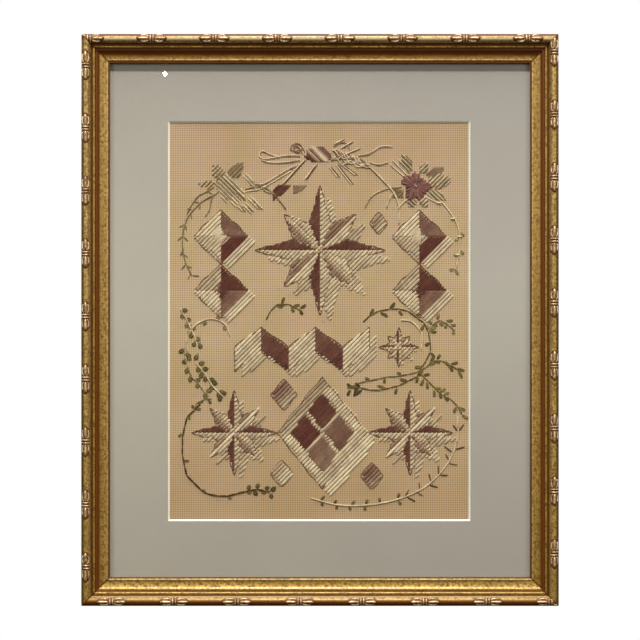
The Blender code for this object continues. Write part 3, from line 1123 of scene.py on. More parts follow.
class Hatch:
    """Lays slanting satin stitches into outlines and remembers where they lie."""

    # width of a strand laid on every line, as a share of one laid on every other line
    CLOSE_WORK = 0.57
    # how far past its outline a stitch may reach for a hole, in hole counts
    SLACK = 0.4

    def __init__(self, skein, slope=1):
        self.skein = skein
        self.slope = slope
        self.taken = {}

    def free(self, line, low, high):
        """The parts of a stretch that no stitch covers yet."""
        parts = [(low, high)]
        for a, b in self.taken.get(line, []):
            left = []
            for low, high in parts:
                if b <= low or a >= high:
                    left.append((low, high))
                    continue
                if a > low:
                    left.append((low, a))
                if b < high:
                    left.append((b, high))
            parts = left
        return parts

    def fill(self, outline, shades, gap=2, width=None, under=False, phase=0, wobble=0.05):
        """Fills an outline, the wool going from the first shade to the last across it."""
        wool = looks("wool")
        width = width or (wool.satin_width if gap == 2 else wool.satin_width * self.CLOSE_WORK)
        lines = [i - self.slope * j for i, j in outline]
        low, high = math.floor(min(lines)), math.ceil(max(lines))
        for line in range(low, high + 1):
            if (line + phase) % gap:
                continue
            share = (line - low) / max(1, high - low)
            place = share * (len(shades) - 1)
            near = min(int(place), len(shades) - 2) if len(shades) > 1 else 0
            tone = shades[near] + (shades[min(near + 1, len(shades) - 1)] - shades[near]) * (place - near)
            for start, end in spans(outline, line, self.slope):
                a = math.ceil(start - self.SLACK)
                b = math.floor(end + self.SLACK)
                stretches = self.free(line, a, b) if under else [(a, b)]
                for a, b in stretches:
                    if b - a < 1:
                        continue
                    shade = tone + self.skein.random.uniform(-wobble, wobble)
                    wide = width * self.skein.random.uniform(0.94, 1.04)
                    first = (a, (a - line) * self.slope)
                    last = (b, (b - line) * self.slope)
                    self.skein.stitch(first, last, wide, wool.satin_height, shade)
                    self.taken.setdefault(line, []).append((a, b))


def star_outline(centre, long_point, short_point, notch):
    """An eight-pointed star: tips and notches in turn, clockwise from the top."""
    points = []
    for k in range(8):
        reach = long_point if k % 2 == 0 else short_point
        for angle, size in ((45 * k, reach), (45 * k + 22.5, notch)):
            a = math.radians(angle)
            points.append((centre[0] + size * math.sin(a), centre[1] + size * math.cos(a)))
    return points


def diamond(centre, half_width, half_height):
    """The top, right, bottom and left corners of an upright diamond."""
    i, j = centre
    return [(i, j + half_height), (i + half_width, j), (i, j - half_height), (i - half_width, j)]


def shifted(outline, di, dj):
    """The same outline some holes further on."""
    return [(i + di, j + dj) for i, j in outline]


# length of one back stitch of an outline, in hole counts
BACK_STITCH = 3.2


def run_outline(skein, outline, shade):
    """Thin back stitches from hole to hole along an outline."""
    thickness = looks("wool").thread
    for (i0, j0), (i1, j1) in zip(outline, outline[1:] + outline[:1]):
        steps = max(1, round(math.hypot(i1 - i0, j1 - j0) / BACK_STITCH))
        spots = []
        for k in range(steps + 1):
            spot = (round(i0 + (i1 - i0) * k / steps), round(j0 + (j1 - j0) * k / steps))
            if not spots or spot != spots[-1]:
                spots.append(spot)
        for a, b in zip(spots, spots[1:]):
            tone = shade + skein.random.uniform(-0.06, 0.06)
            skein.stitch(a, b, thickness, thickness * 0.8, tone, lift=0.1 * MM)


def faceted_star(hatch, centre, outline):
    """A star in sixteen facets, one half of each point pale and the other dark."""
    for k in range(8):
        tip = outline[2 * k]
        dark_side = 1 if 3 <= k <= 6 else 0
        for side, facet in enumerate(([centre, outline[2 * k - 1], tip], [centre, tip, outline[2 * k + 1]])):
            dark = side == dark_side
            if k % 2:
                shades = (0.72, 0.5, 0.62) if dark else (0.02, 0.16, 0.08)
            else:
                shades = (1.0, 0.90, 0.98) if dark else (0.0, 0.20, 0.10)
            hatch.fill(facet, shades, gap=1 if dark and not k % 2 else 2)


def faceted_lozenge(hatch, thin, centre, half_width, half_height, tones):
    """A lozenge in four facets, upper left, upper right, lower left, lower right, each (shades, gap)."""
    top, right, bottom, left = diamond(centre, half_width, half_height)
    corners = ((left, top), (top, right), (bottom, left), (right, bottom))
    for (a, b), (shades, gap) in zip(corners, tones):
        hatch.fill([centre, a, b], shades, gap=gap)
    run_outline(thin, [top, right, bottom, left], 0.85)


STARS = (
    # centre, long point, short point, notch
    ((0, 31), 29, 23, 13.0),
    ((-38, -50), 19, 15, 8.5),
    ((40, -50), 19, 15, 8.5),
    ((35, -12), 9, 7, 4.0),
)
TOWERS = (
    # row of the middle, whether the dark facets lie below
    (37, True),
    (13, False),
)
SMALL_DIAMONDS = (
    # column and row of the middle, half width, half height, shades
    (-16, -33, 6, 7, (0.85, 0.1)),
    (-17, -68, 5, 6, (0.3, 0.0)),
    (23, -69, 5, 6, (0.9, 0.3)),
    (26, 43, 4, 5, (0.55, 0.1)),
)


class FRAMED_OT_satin(bpy.types.Operator):
    """Works the shaded satin stitch motifs: stars, lozenges and a zigzag ribbon"""

    bl_idname = "framed.satin"
    bl_label = "Satin motifs"

    def stars(self, stars, thin):
        """The four stars, each with its drop shade"""
        hatch = Hatch(stars)
        for centre, long_point, short_point, notch in STARS:
            shape = star_outline(centre, long_point, short_point, notch)
            faceted_star(hatch, centre, shape)
            run_outline(thin, shape, 0.8)
            drop = int(long_point // 6)
            hatch.fill(shifted(shape, drop, -drop), (0.04, 0.26, 0.10), under=True)

    def lozenges(self, lozenges, thin):
        """The two towers at the sides, the quartered diamond and the small ones"""
        hatch = Hatch(lozenges)
        pale = ((0.0, 0.14), 2)
        grey = ((0.30, 0.12), 2)
        mauve = ((0.76, 0.60), 1)
        dark = ((0.98, 1.0), 1)
        for side in (-1, 1):
            for row, low in TOWERS:
                centre = (side * 44, row)
                hatch.fill(diamond(centre, 4, 4.5), (0.05, 0.12) if low else (0.98, 1.0), gap=1)
                faceted_lozenge(hatch, thin, centre, 12.5, 12.0,
                                (pale, mauve, grey, dark) if low else (grey, dark, pale, mauve))
            for row, _ in TOWERS:
                shade = shifted(diamond((side * 44, row), 12.5, 12.0), 3, -3)
                hatch.fill(shade, (0.0, 0.2, 0.08), under=True)
        centre = (1, -50)
        large = diamond(centre, 20, 25)
        for di, dj, shades in ((0, 9.5, (1.0, 0.9)), (7.5, 0, (0.6, 0.8)), (0, -9.5, (0.7, 0.5)),
                               (-7.5, 0, (0.95, 1.0))):
            hatch.fill(diamond((centre[0] + di, centre[1] + dj), 6.6, 8.6), shades, gap=1)
        hatch.fill(large, (0.55, 0.04, 0.15, 0.0, 0.30), under=True)
        hatch.fill(shifted(large, 4, -4), (0.15, 0.02), under=True)
        for i, j, half_width, half_height, shades in SMALL_DIAMONDS:
            small = diamond((i, j), half_width, half_height)
            hatch.fill(small, shades)
            run_outline(thin, small, 0.7)
        run_outline(thin, large, 0.85)

    def ribbon(self, ribbon, thin):
        """The folded ribbon across the middle, its shades laid last"""
        hatch = Hatch(ribbon)
        shades = []
        for k in range(5):
            i = 12 * k - 38
            rise = k % 2 == 0
            low, high = (-23, -14) if rise else (-14, -23)
            fold = [(i, low), (i + 12, high), (i + 12, high + 11), (i, low + 11)]
            hatch.fill(fold, (0.0, 0.18, 0.05) if rise else (0.78, 1.0), gap=2 if rise else 1)
            run_outline(thin, fold, 0.85)
            shades.append(shifted(fold, 3, -3))
        for shade in shades:
            hatch.fill(shade, (0.02, 0.2), under=True)

    def execute(self, context):
        wool = looks("wool")
        madder = wool_material("wool_madder", wool.cream, wool.taupe, wool.mauve, wool.maroon)
        thin = Skein("outline_stitches", 12)
        for name, seed, work in (("satin_stars", 11, self.stars), ("satin_lozenges", 21, self.lozenges),
                                 ("satin_ribbon", 31, self.ribbon)):
            skein = Skein(name, seed)
            work(skein, thin)
            skein.finish(madder)
        thin.finish(madder)
        return {"FINISHED"}


def smooth_route(points, step):
    """A smooth curve through given points, sampled at an even step, in hole counts."""
    fineness = 24
    points = [Vector(p) for p in points]
    ends = [2 * points[0] - points[1]] + points + [2 * points[-1] - points[-2]]
    dense = []
    for k in range(1, len(ends) - 2):
        p0, p1, p2, p3 = ends[k - 1:k + 3]
        for s in range(fineness):
            t = s / fineness
            dense.append(0.5 * ((2 * p1) + (p2 - p0) * t + (2 * p0 - 5 * p1 + 4 * p2 - p3) * t * t
                                + (3 * p1 - p0 - 3 * p2 + p3) * t ** 3))
    dense.append(points[-1])
    route = [dense[0]]
    travelled = 0.0
    for a, b in zip(dense, dense[1:]):
        travelled += (b - a).length
        if travelled >= step:
            route.append(b)
            travelled = 0.0
    if (dense[-1] - route[-1]).length > step * 0.4:
        route.append(dense[-1])
    return route


def heading_of(angle):
    """The direction of an angle in radians, and the direction to the left of it."""
    direction = Vector((math.cos(angle), math.sin(angle)))
    return direction, Vector((-direction.y, direction.x))


def couched_stem(skein, points, shade, thickness):
    """A yarn laid along a curve and held down by small stitches across it."""
    route = smooth_route(points, 0.55)
    sunk = 1.2 * MM
    places = []
    for number, spot in enumerate(route):
        base = hole(spot.x, spot.y)
        wave = math.sin(number * 0.9) * 0.05 * MM
        places.append((base.x, base.y - thickness * 0.42 + wave, base.z))
    first, last = ((x, y + sunk, z) for x, y, z in (places[0], places[-1]))
    places = [first] + places + [last]
    count = len(places)
    widths = [thickness] * count
    widths[0] = widths[-1] = thickness * 0.5
    tones = [shade + 0.10 * math.sin(k * 0.21 + skein.random.random()) for k in range(count)]
    skein.lay(places, widths, [w * 0.85 for w in widths], np.array(tones), ridge=0.12, twist=4.5 * MM)
    for spot, following in list(zip(route, route[1:]))[6::9]:
        along = (following - spot).normalized()
        across = Vector((-along.y, along.x)) * 0.62
        skein.stitch(tuple(spot + across), tuple(spot - across), 0.4 * MM, 0.4 * MM, shade + 0.15,
                     lift=thickness * 0.72)


# length of one stitch of a stem, in hole counts
STEM_STITCH = 4.2


def stem_stitches(skein, points, shade, thickness):
    """A line of stitches from hole to hole along a curve."""
    spots = []
    for spot in smooth_route(points, STEM_STITCH):
        near = (round(spot.x), round(spot.y))
        if not spots or near != spots[-1]:
            spots.append(near)
    for a, b in zip(spots, spots[1:]):
        skein.stitch(a, b, thickness, thickness * 0.85, shade + skein.random.uniform(-0.1, 0.1))


def leaf(skein, base, angle, length, shade, count):
    """A small leaf of one, two or three stitches that start together."""
    spread = 0.85
    direction, aside = heading_of(angle)
    base = Vector(base)
    middle = (count - 1) / 2
    for k in range(count):
        off = k - middle
        reach = length * (1.0 if abs(off) < 0.1 else 0.82)
        start = base + aside * off * 0.25
        end = base + direction * reach + aside * off * spread * 0.55
        tone = shade + skein.random.uniform(-0.12, 0.12) + (0.22 if abs(off) > 0.6 else -0.05)
        skein.stitch(tuple(start), tuple(end), 1.3 * MM, 0.75 * MM, tone, bow=off * spread * 0.8 * MM)


def leafy(skein, points, every, length, shade, start=0.06, stop=1.0, strands=3, open_angle=50, both=True):
    """Leaves in pairs, or left and right in turn, along a curve, with one missing here and there."""
    step_along = 0.5
    missing = 0.08
    route = smooth_route(points, step_along)
    first = int(len(route) * start)
    last = int(len(route) * stop) - 1
    step = max(2, int(every / step_along))
    for number, k in enumerate(range(first, last, step)):
        along = route[min(k + 1, len(route) - 1)] - route[k]
        heading = math.atan2(along.y, along.x)
        for side in (-1, 1):
            if not both and (number % 2 == 0) != (side > 0):
                continue
            if skein.random.random() < missing:
                continue
            turn = heading + side * math.radians(open_angle + skein.random.uniform(-22, 22))
            size = length * skein.random.uniform(0.72, 1.15)
            root = route[min(last, k + skein.random.randint(-1, 2))] + heading_of(turn)[0] * 0.6
            leaf(skein, root, turn, size, shade + skein.random.uniform(-0.15, 0.15), strands)


STEM_KINDS = {
    # kind: how it is worked, its thickness as a share of the stem yarn's
    "couched": (couched_stem, 1.0),
    "thick": (couched_stem, 1.3),
    "thread": (stem_stitches, 0.95),
    "bold": (stem_stitches, 1.25),
}
STEMS = {
    # name: kind, shade, points in hole counts
    "foot_right": ("couched", 0.05, (
        (-4, -79), (8, -82), (22, -82), (36, -79), (48, -73), (57, -63), (61, -52), (61, -43))),
    "foot_left": ("bold", 1.0, (
        (-53, -37), (-58, -42), (-61, -50), (-61, -60), (-59, -68), (-54, -75), (-46, -78), (-37, -77),
        (-31, -75.5), (-26, -75), (-22, -76.5))),
    "left": ("couched", 0.08, ((-62, 5), (-58, -2), (-55, -9), (-54, -15))),
    "left_arch": ("couched", 0.06, ((-59, -14), (-59, -8), (-55, -2), (-48, 0.5), (-42, -2), (-40, -7))),
    "left_side": ("thread", 0.40, ((-60, -12), (-59, -19), (-56, -26), (-50, -33))),
    "left_low": ("couched", 0.06, ((-55, -19), (-51, -24), (-47, -30), (-43, -34))),
    "left_sprig": ("thread", 0.60, ((-56, -41), (-54, -36), (-48, -35))),
    "middle": ("thread", 0.70, ((-24, 0.5), (-23, 3.5), (-19, 6.5), (-14, 6.5), (-8, 4.5))),
    "right": ("thread", 0.80, (
        (19, -1), (24, 2.5), (30, 4.5), (38, 4), (46, -1), (49, -7), (49, -14), (45, -22), (40, -27),
        (33, -30), (25, -31), (18, -30.5), (12, -30.5))),
    "right_inner": ("thread", 0.60, ((47, -21), (40, -24), (32, -25), (25, -26), (18, -28), (12, -30.5))),
    "right_top": ("thread", 0.50, ((48, -6), (51, -1), (55, 0), (60, -5))),
    "right_middle": ("thread", 0.60, ((47, -21), (51, -18), (55, -18), (61, -22))),
    "right_low": ("thread", 0.55, ((45, -24), (49, -29), (54, -33), (60, -37), (63, -43))),
    "right_pale": ("couched", 0.0, ((36, 0), (41, -1), (45, -6), (45, -13))),
    "head_left": ("couched", 0.50, ((-46, 56), (-53, 52), (-59, 45), (-61, 36), (-60, 27), (-57, 20))),
    "head_right": ("couched", 0.05, ((50, 56), (56, 50), (61, 42), (62, 32), (60, 22))),
    "head_middle": ("thick", 0.05, ((22, 68), (28, 62), (33, 56), (35, 50), (35, 43))),
    "hanging": ("couched", 0.30, ((36, 59), (29, 58), (23, 55), (20, 50))),
    "hanging_low": ("couched", 0.05, ((33, 57), (31, 54), (29.5, 50))),
}
LEAVES = (
    # stem, distance between leaves, their length, shade, and what else differs
    ("foot_right", 6.2, 2.5, 0.85, {"strands": 2, "open_angle": 70, "stop": 0.5}),
    ("foot_right", 5.6, 3.7, 0.90, {"strands": 1, "open_angle": 55, "start": 0.5}),
    ("foot_left", 3.2, 2.8, 0.62, {"start": 0.82}),
    ("foot_left", 6.5, 2.4, 0.60, {"start": 0.10, "stop": 0.8, "strands": 2, "both": False}),
    ("left", 3.2, 2.7, 0.40, {}),
    ("left_low", 3.0, 2.8, 0.55, {}),
    ("left_side", 3.4, 2.8, 0.50, {}),
    ("left_sprig", 3.2, 2.4, 0.60, {"strands": 2}),
    ("left_arch", 5.5, 2.2, 0.0, {"both": False, "start": 0.3}),
    ("middle", 3.0, 3.2, 0.75, {"start": 0.35, "strands": 2}),
    ("right", 4.4, 4.2, 0.70, {"both": False, "strands": 2, "stop": 0.85}),
    ("right", 2.4, 4.4, 1.0, {"strands": 2, "start": 0.92}),
    ("right_inner", 6.0, 3.6, 0.65, {"strands": 2, "both": False}),
    ("right_top", 3.2, 3.2, 0.35, {"strands": 2}),
    ("right_middle", 3.0, 4.0, 0.62, {"strands": 2, "open_angle": 35}),
    ("right_low", 3.2, 3.8, 0.50, {"strands": 2, "open_angle": 40}),
    ("head_left", 4.2, 2.6, 0.25, {"strands": 1}),
    ("head_right", 4.0, 2.6, 0.20, {"strands": 2, "start": 0.6}),
)


class FRAMED_OT_vines(bpy.types.Operator):
    """Lays the vine stems and their leaves"""

    bl_idname = "framed.vines"
    bl_label = "Vines and leaves"

    def execute(self, context):
        wool = looks("wool")
        green = wool_material("wool_green", wool.sage, wool.olive, wool.forest)
        bark = halfway(wool.forest, wool.maroon)
        madder = wool_material("wool_stem", wool.cream, wool.taupe, wool.olive, bark)
        stems = Skein("vine_stems", 41)
        leaves = Skein("vine_leaves", 42)
        for kind, shade, points in STEMS.values():
            work, thickness = STEM_KINDS[kind]
            work(stems, points, shade, wool.stem * thickness)
        for name, every, length, shade, more in LEAVES:
            skein = stems if name == "foot_right" else leaves
            leafy(skein, STEMS[name][2], every, length, shade, **more)
        stems.finish(madder)
        leaves.finish(green)
        return {"FINISHED"}


# height of a long strand of a flower
STRAND_HEIGHT = 0.8 * MM
LEAF_SHAPE = (
    # share of the length, share of the half width
    (0.0, 0.0), (0.18, 0.62), (0.42, 1.0), (0.66, 0.82), (0.86, 0.40), (1.0, 0.0),
)


def leaf_outline(base, degrees, length, half_width):
    """A pointed oval from its base, in hole counts."""
    direction, aside = heading_of(math.radians(degrees))
    base = Vector(base)
    left = [base + direction * length * p + aside * half_width * w for p, w in LEAF_SHAPE]
    right = [base + direction * length * p - aside * half_width * w for p, w in LEAF_SHAPE[-2:0:-1]]
    return [tuple(p) for p in left + right]


def striped(hatch, outline, shades, between, width, thin):
    """Fills an outline with stitches in one wool and lays thinner ones in another between them."""
    hatch.fill(outline, shades, width=width, wobble=0.12)
    hatch.fill(outline, between, width=thin, phase=1, wobble=0.12)


def strands(skein, first, along, reaches, shades, width, uneven=0.6):
    """Parallel stitches on neighbouring slanting lines of holes; each reach is (back, ahead)."""
    di, dj = along
    for number, (back, ahead) in enumerate(reaches):
        i = first[0] + (number + 1) // 2
        j = first[1] - (number // 2) * di * dj
        back += skein.random.uniform(-uneven, uneven)
        ahead += skein.random.uniform(-uneven, uneven)
        start = (i - di * round(back), j - dj * round(back))
        end = (i + di * round(ahead), j + dj * round(ahead))
        skein.stitch(start, end, width * skein.random.uniform(0.9, 1.1), STRAND_HEIGHT,
                     shades[number % len(shades)] + skein.random.uniform(-0.05, 0.05))


def twined(start, end, waves, size, phase):
    """Points of one cord that winds about the line from start to end."""
    start = Vector(start)
    run = Vector(end) - start
    aside = Vector((-run.y, run.x)).normalized()
    count = int(waves * 6)
    points = []
    for k in range(count + 1):
        share = k / count
        swing = size * math.sin(phase + share * waves * math.tau) * (1 - 0.5 * share)
        points.append(tuple(start + run * share + aside * swing))
    return points


def fan_petal(skein, centre, degrees, length, half_width, shades, width):
    """A petal of stitches that spread from near one hole, its middle ones the longest."""
    count = max(3, int(half_width * 1.6) | 1)
    for k in range(count):
        share = 2 * k / (count - 1) - 1
        turn = math.radians(degrees + share * math.degrees(math.atan2(half_width, length)))
        reach = length * (1 - 0.28 * share * share) + skein.random.uniform(-0.3, 0.3)
        start = (centre[0] + 1.6 * math.cos(turn), centre[1] + 1.6 * math.sin(turn))
        end = (round(centre[0] + reach * math.cos(turn)), round(centre[1] + reach * math.sin(turn)))
        tone = shades[k % len(shades)] + skein.random.uniform(-0.05, 0.05)
        skein.stitch(start, end, width, STRAND_HEIGHT, tone, lift=0.45 * MM)


class FRAMED_OT_flowers(bpy.types.Operator):
    """Works the three flowers at the top and their leaves"""

    bl_idname = "framed.flowers"
    bl_label = "Flowers"

    def left(self, sage):
        """The pale flower of long slanting strands"""
        up = Hatch(sage)
        striped(up, leaf_outline((-41, 62), 50, 11, 3.0), (0.80, 1.0), (0.45, 0.30), 1.25 * MM, 0.75 * MM)
        up.fill(leaf_outline((-43, 62), 122, 8.5, 3.2), (0.60, 0.85), width=1.1 * MM, wobble=0.15)
        up.fill(leaf_outline((-46, 60), 178, 8.0, 2.0), (0.65, 0.95), width=1.1 * MM, wobble=0.15)
        falling = (1, -1)
        reaches = ((1, 3), (3, 5), (2, 7), (4, 4), (2, 8), (4, 7), (3, 6), (3, 8), (2, 7), (3, 5), (1, 7),
                   (1, 4))
        tones = (0.10, 0.42, 0.05, 0.60, 0.12, 0.88, 0.30, 0.95, 0.08, 0.50, 0.02, 0.35)
        strands(sage, (-45, 58), falling, reaches, tones, 1.15 * MM)
        for spot, reach in (((-43, 54), 2), ((-39, 52), 2), ((-36, 50), 2), ((-33, 50), 3), ((-31, 53), 2),
                            ((-29, 51), 3)):
            reaches = ((1, reach), (0, reach - 1), (1, reach))
            strands(sage, spot, falling, reaches, (0.0, 0.70, 0.08), 1.1 * MM)
        strands(sage, (-32, 62), falling, ((2, 3), (2, 4), (3, 2)), (0.02, 0.45, 0.10), 1.1 * MM)
        for shade, points in ((0.85, ((-47, 59), (-51, 56.5), (-54, 55), (-57, 51), (-59, 47))),
                              (0.60, ((-45, 57), (-48, 54), (-49, 49), (-51, 46))),
                              (0.85, ((-33, 58), (-28, 59), (-23, 58), (-18, 53), (-15, 49))),
                              (0.02, ((-33, 57), (-27, 58), (-23, 60), (-18, 63), (-13, 66))),
                              (0.55, ((-31, 60), (-27, 60), (-24, 57), (-20, 56)))):
            couched_stem(sage, points, shade, 1.05 * MM)

    def top(self, rose):
        """The banded bud with its tendrils and twined cords"""
        down = Hatch(rose, slope=-1)
        up = Hatch(rose)
        bud = [(-7, 72), (-6, 76), (-2, 77.5), (2, 77), (5.5, 73.5), (5.5, 71), (2, 69.5), (-3, 70)]
        down.fill(bud, (1.0, 0.96, 0.92, 0.02, 0.85, 0.0, 0.04, 0.78, 0.66, 0.72), gap=1, wobble=0.02)
        up.fill([(-18.5, 59.6), (-13.3, 59.6), (-16, 56.5), (-21, 52.5), (-21, 57.5)], (1.0, 0.90), gap=1)
        up.fill([(-12.6, 59.8), (-6, 59.8), (-7.5, 58), (-11.5, 55.5)], (0.60, 0.45), gap=1, width=1.1 * MM)
        shadow_aside = 0.9
        # each pale long stitch has a thinner dark one laid just beside it: a painted shadow
        for (i0, j0), (i1, j1) in (
                ((-7, 71), (-17, 60)), ((7, 69), (14, 60)), ((-2, 69), (-7, 62)), ((4, 68), (8, 63)),
                ((9, 76), (14, 79)), ((10, 73), (17, 76)), ((8, 70), (16, 64)), ((6, 78), (10, 80))):
            rose.stitch((i0, j0), (i1, j1), 1.05 * MM, STRAND_HEIGHT, 0.0)
            rose.stitch((i0 + shadow_aside, j0), (i1 + shadow_aside, j1), 0.75 * MM, 0.6 * MM, 0.85)
        curls = (
            # shade, points in hole counts
            (0.45, ((-7, 75), (-9, 78), (-12, 78), (-13, 76), (-11, 75), (-8, 76))),
            (0.60, ((-8, 74), (-9.5, 76.5), (-11.5, 77), (-11, 74.5), (-9, 74.5))),
            (0.00, ((-9, 73), (-15, 73), (-21, 72), (-25, 71.5), (-27, 73), (-25.5, 75), (-22, 73.5),
                    (-18, 72.5))),
            (0.05, ((-9, 71), (-16, 70), (-22, 70), (-26, 71))),
            (0.00, ((-9, 69), (-14, 67), (-19, 64), (-24, 61), (-27, 60))),
            (0.00, ((17, 73), (22, 74), (27, 77), (32, 77))),
            (0.05, ((22, 70), (26, 69), (30, 70))),
            (0.35, ((6, 77), (9, 79), (12, 78), (13, 76))),
        )
        for shade, points in curls:
            couched_stem(rose, points, shade, 0.88 * MM)
            # a thinner mid-brown cord just under each curl: a painted shadow
            below = [(i + 0.3, j - 0.62) for i, j in points]
            couched_stem(rose, below, 0.50, 0.5 * MM)
        for number, shade in enumerate((0.0, 0.62, 0.05, 0.45, 0.0)):
            points = twined((5.5, 75 - number * 1.0), (22, 68), 2.4, 1.5, number * 1.7)
            couched_stem(rose, points, shade, 1.25 * MM)
        for k in range(9):
            spot = (6 + 1.7 * k, 76 - 0.6 * k)
            length = 3.6 - 0.2 * k
            rose.stitch(spot, (spot[0] + length * 0.7, spot[1] - length), 1.0 * MM, STRAND_HEIGHT,
                        (0.0, 0.5, 0.1)[k % 3], lift=0.5 * MM)

    def right(self, plum, greens):
        """The dark five-lobed flower with its pale leaves"""
        middle = (42.5, 59.5)
        petals = ((150, 7.0), (92, 6.2), (-4, 7.2), (-62, 6.6), (-118, 7.0))
        lobes = []
        for k in range(40):
            turn = math.tau * k / 40
            reach = 4.6
            for degrees, length in petals:
                apart = abs(math.remainder(turn - math.radians(degrees), math.tau))
                reach = max(reach, (length - 0.4) * math.cos(min(math.pi / 2, 1.5 * apart)))
            lobes.append((middle[0] + reach * math.cos(turn), middle[1] + reach * math.sin(turn)))
        Hatch(plum).fill(lobes, (0.80, 0.70, 0.76), gap=1)
        for degrees, length in petals:
            fan_petal(plum, middle, degrees, length, 4.2, (0.74, 0.86, 0.66), 2.0 * MM)
        plum.stitch((42, 60), (43, 59), 1.1 * MM, 0.6 * MM, 0.0, lift=1.0 * MM)
        up = Hatch(greens)
        down = Hatch(greens, slope=-1)
        base_reach = 5
        for hatch, degrees, length, half_width, tones in (
                (down, 112, 15, 3.2, (0.10, 0.35)), (up, 8, 17, 3.6, (0.05, 0.25)),
                (down, -26, 16, 2.4, (0.1, 0.3)), (up, -62, 12, 2.6, (0.05, 0.2)),
                (down, -100, 11, 2.4, (0.2, 0.4)), (up, 208, 12, 2.8, (0.95, 0.75)),
                (up, 60, 12, 2.4, (0.1, 0.3))):
            base = Vector((42, 60)) + heading_of(math.radians(degrees))[0] * base_reach
            shape = leaf_outline(base, degrees, length - base_reach, half_width)
            striped(hatch, shape, tones, (0.70, 0.95), 1.3 * MM, 0.75 * MM)
        for start, end in (
                ((38, 63), (31, 69)), ((39, 64), (32, 71)), ((46, 55), (54, 51)), ((39, 54), (34, 49))):
            greens.stitch(start, end, 1.1 * MM, STRAND_HEIGHT, 0.05)
        for i, j in ((53, 52), (59, 45), (62, 37), (61, 29)):
            greens.stitch((i - 1, j), (i + 1, j), 2.0 * MM, 1.3 * MM, 0.02, lift=0.4 * MM)

    def execute(self, context):
        wool = looks("wool")
        madder = bpy.data.materials["wool_madder"]
        grey = halfway(wool.sage, wool.taupe)
        moss = halfway(wool.olive, wool.mauve)
        pale = wool_material("wool_sage", wool.cream, grey, moss)
        sage = Skein("flower_left", 51)
        self.left(sage)
        sage.finish(pale)
        rose = Skein("flower_top", 52)
        self.top(rose)
        rose.finish(madder)
        plum = Skein("flower_right", 53)
        greens = Skein("flower_right_leaves", 54)
        self.right(plum, greens)
        purple = wool_material("wool_plum", wool.cream, wool.taupe, wool.plum, wool.maroon)
        Hatch(plum).fill(leaf_outline((46.5, 63.5), 27, 10.5, 2.0), (0.50, 0.42), gap=1, width=1.0 * MM)
        plum.finish(purple)
        greens.finish(pale)
        return {"FINISHED"}


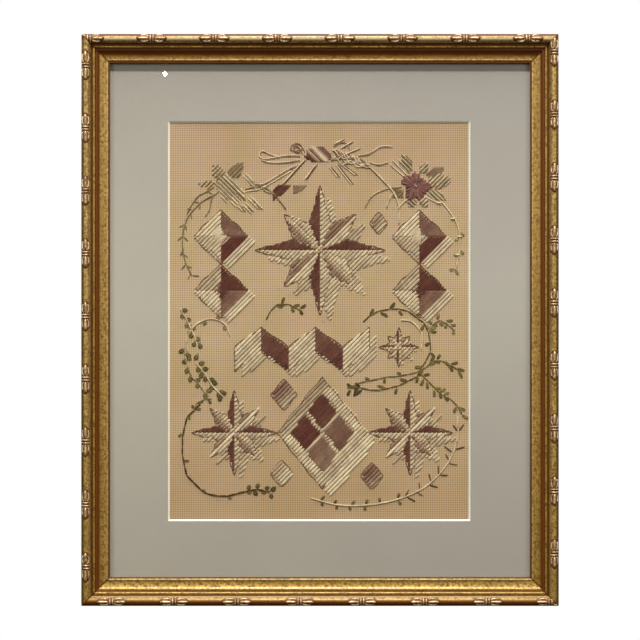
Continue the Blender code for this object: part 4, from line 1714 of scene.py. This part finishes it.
class FRAMED_OT_stage(bpy.types.Operator):
    """Sets the floor, the lights and the camera"""

    bl_idname = "framed.stage"
    bl_label = "Stage"

    def execute(self, context):
        s = looks("stage")
        scene = context.scene
        floor_drop = 0.40
        floor_size = (3.0, 3.4)
        deselect()
        bpy.ops.mesh.primitive_plane_add(size=1.0, location=(0.0, -0.25, LOW.z - floor_drop))
        floor = context.object
        floor.name = "studio_floor"
        floor.data.transform(Matrix.Diagonal((*floor_size, 1.0, 1.0)))
        place_in_mesh(floor)
        kit = Nodes("floor_paint")
        paint = kit.ramp(kit.noise(2.0), (0.3, (0.60, 0.59, 0.57)), (0.7, (0.66, 0.65, 0.63)))
        floor.data.materials.append(kit.finish(paint, None, 0.8))
        floor.visible_diffuse = False
        floor.visible_glossy = False
        key_way = Vector((0.0, -math.cos(s.key_angle), math.sin(s.key_angle)))
        side = s.key_power * s.side_share
        rear = s.key_power * s.rear_share
        lamps = (
            # name, place from the picture's middle, size, power, colour
            ("key", key_way * s.key_distance, 0.36, s.key_power, (1.0, 0.965, 0.91)),
            ("glint", (-0.63, -5.0, 1.0), 0.020, s.key_power * 0.0006, (1.0, 1.0, 1.0)),
            ("ceiling", (0.0, -1.2, 3.2), 2.4, s.key_power * s.ceiling_share, (1.0, 0.97, 0.89)),
            ("left_fill", (-1.7, -3.0, 0.7), 1.4, side, (1.0, 0.93, 0.80)),
            ("right_fill", (1.7, -3.0, 0.7), 1.4, side, (1.0, 0.93, 0.80)),
            ("left_rear", (-2.2, 2.6, 1.4), 1.6, rear, (1.0, 0.97, 0.92)),
            ("right_rear", (2.2, 2.6, 1.4), 1.6, rear, (1.0, 0.97, 0.92)),
        )
        for name, offset, size, power, colour in lamps:
            lamp = bpy.data.lights.new(name, "AREA")
            lamp.shape = "DISK"
            lamp.size = size
            lamp.energy = power
            lamp.color = colour
            holder = linked(name, lamp)
            holder.location = CENTRE + Vector(offset)
            holder.visible_camera = False
            holder.rotation_mode = "QUATERNION"
            holder.rotation_quaternion = (CENTRE - holder.location).to_track_quat("-Z", "Y")
        air = Nodes("studio_air", "worlds")
        scene.world = air.made
        height = air.part("Z", air.add("TexCoord").outputs["Generated"])
        level = air.add("MapRange", in_From_Min=-1.0, in_Value=height).outputs[0]
        dim = (0.06, 0.055, 0.05)
        glow = air.ramp(
            level, (0.20, (0.20, 0.17, 0.14)), (0.40, dim), (0.60, dim), (0.85, (1.0, 0.97, 0.92)))
        room = air.tree.nodes["Background"]
        air.feed(room.inputs["Color"], glow)
        air.feed(room.inputs["Strength"], s.fill)
        white = air.add("Background", in_Color=(1.0, 1.0, 1.0))
        air.blend(air.add("LightPath").outputs["Is Camera Ray"], room, white)
        eye = bpy.data.cameras.new("eye")
        eye.sensor_width = 36.0
        eye.lens = eye.sensor_width * (s.distance - looks("moulding").shoulder) / s.picture_width
        eye.clip_start = 0.05
        camera = linked("eye", eye)
        camera.location = CENTRE + Vector((0.0, -s.distance, 0.0))
        camera.rotation_euler = (math.radians(90), 0.0, 0.0)
        scene.camera = camera
        scene.view_settings.view_transform = "Standard"
        scene.cycles.denoising_prefilter = "NONE"
        return {"FINISHED"}


class FRAMED_PT_panel(bpy.types.Panel):
    """Lists what the picture is built from"""

    bl_label = "Framed needlework"
    bl_idname = "FRAMED_PT_panel"
    bl_space_type = "VIEW_3D"
    bl_region_type = "UI"
    bl_category = "Needlework"

    def draw(self, context):
        column = self.layout.column()
        for step in STEPS:
            column.operator(step.bl_idname)
        for name, group in GROUPS:
            box = column.box()
            for key in group.__annotations__:
                box.prop(looks(name), key)


GROUPS = (
    ("moulding", MouldingLooks),
    ("mat", MatLooks),
    ("paper", PaperLooks),
    ("wool", WoolLooks),
    ("stage", StageLooks),
)
STEPS = (
    FRAMED_OT_moulding,
    FRAMED_OT_ornament,
    FRAMED_OT_glazing,
    FRAMED_OT_mat,
    FRAMED_OT_backing,
    FRAMED_OT_paper,
    FRAMED_OT_satin,
    FRAMED_OT_vines,
    FRAMED_OT_flowers,
    FRAMED_OT_stage,
)


def register():
    for name, group in GROUPS:
        bpy.utils.register_class(group)
        setattr(bpy.types.Scene, "framed_" + name, bpy.props.PointerProperty(type=group))
    for made in STEPS + (FRAMED_PT_panel,):
        bpy.utils.register_class(made)


def unregister():
    for made in reversed(STEPS + (FRAMED_PT_panel,)):
        bpy.utils.unregister_class(made)
    for name, group in reversed(GROUPS):
        delattr(bpy.types.Scene, "framed_" + name)
        bpy.utils.unregister_class(group)


def main():
    register()
    bpy.ops.framed.moulding()
    bpy.ops.framed.ornament()
    bpy.ops.framed.glazing()
    bpy.ops.framed.mat()
    bpy.ops.framed.backing()
    bpy.ops.framed.paper()
    bpy.ops.framed.satin()
    bpy.ops.framed.vines()
    bpy.ops.framed.flowers()
    bpy.ops.framed.stage()


if __name__ == "__main__":
    main()
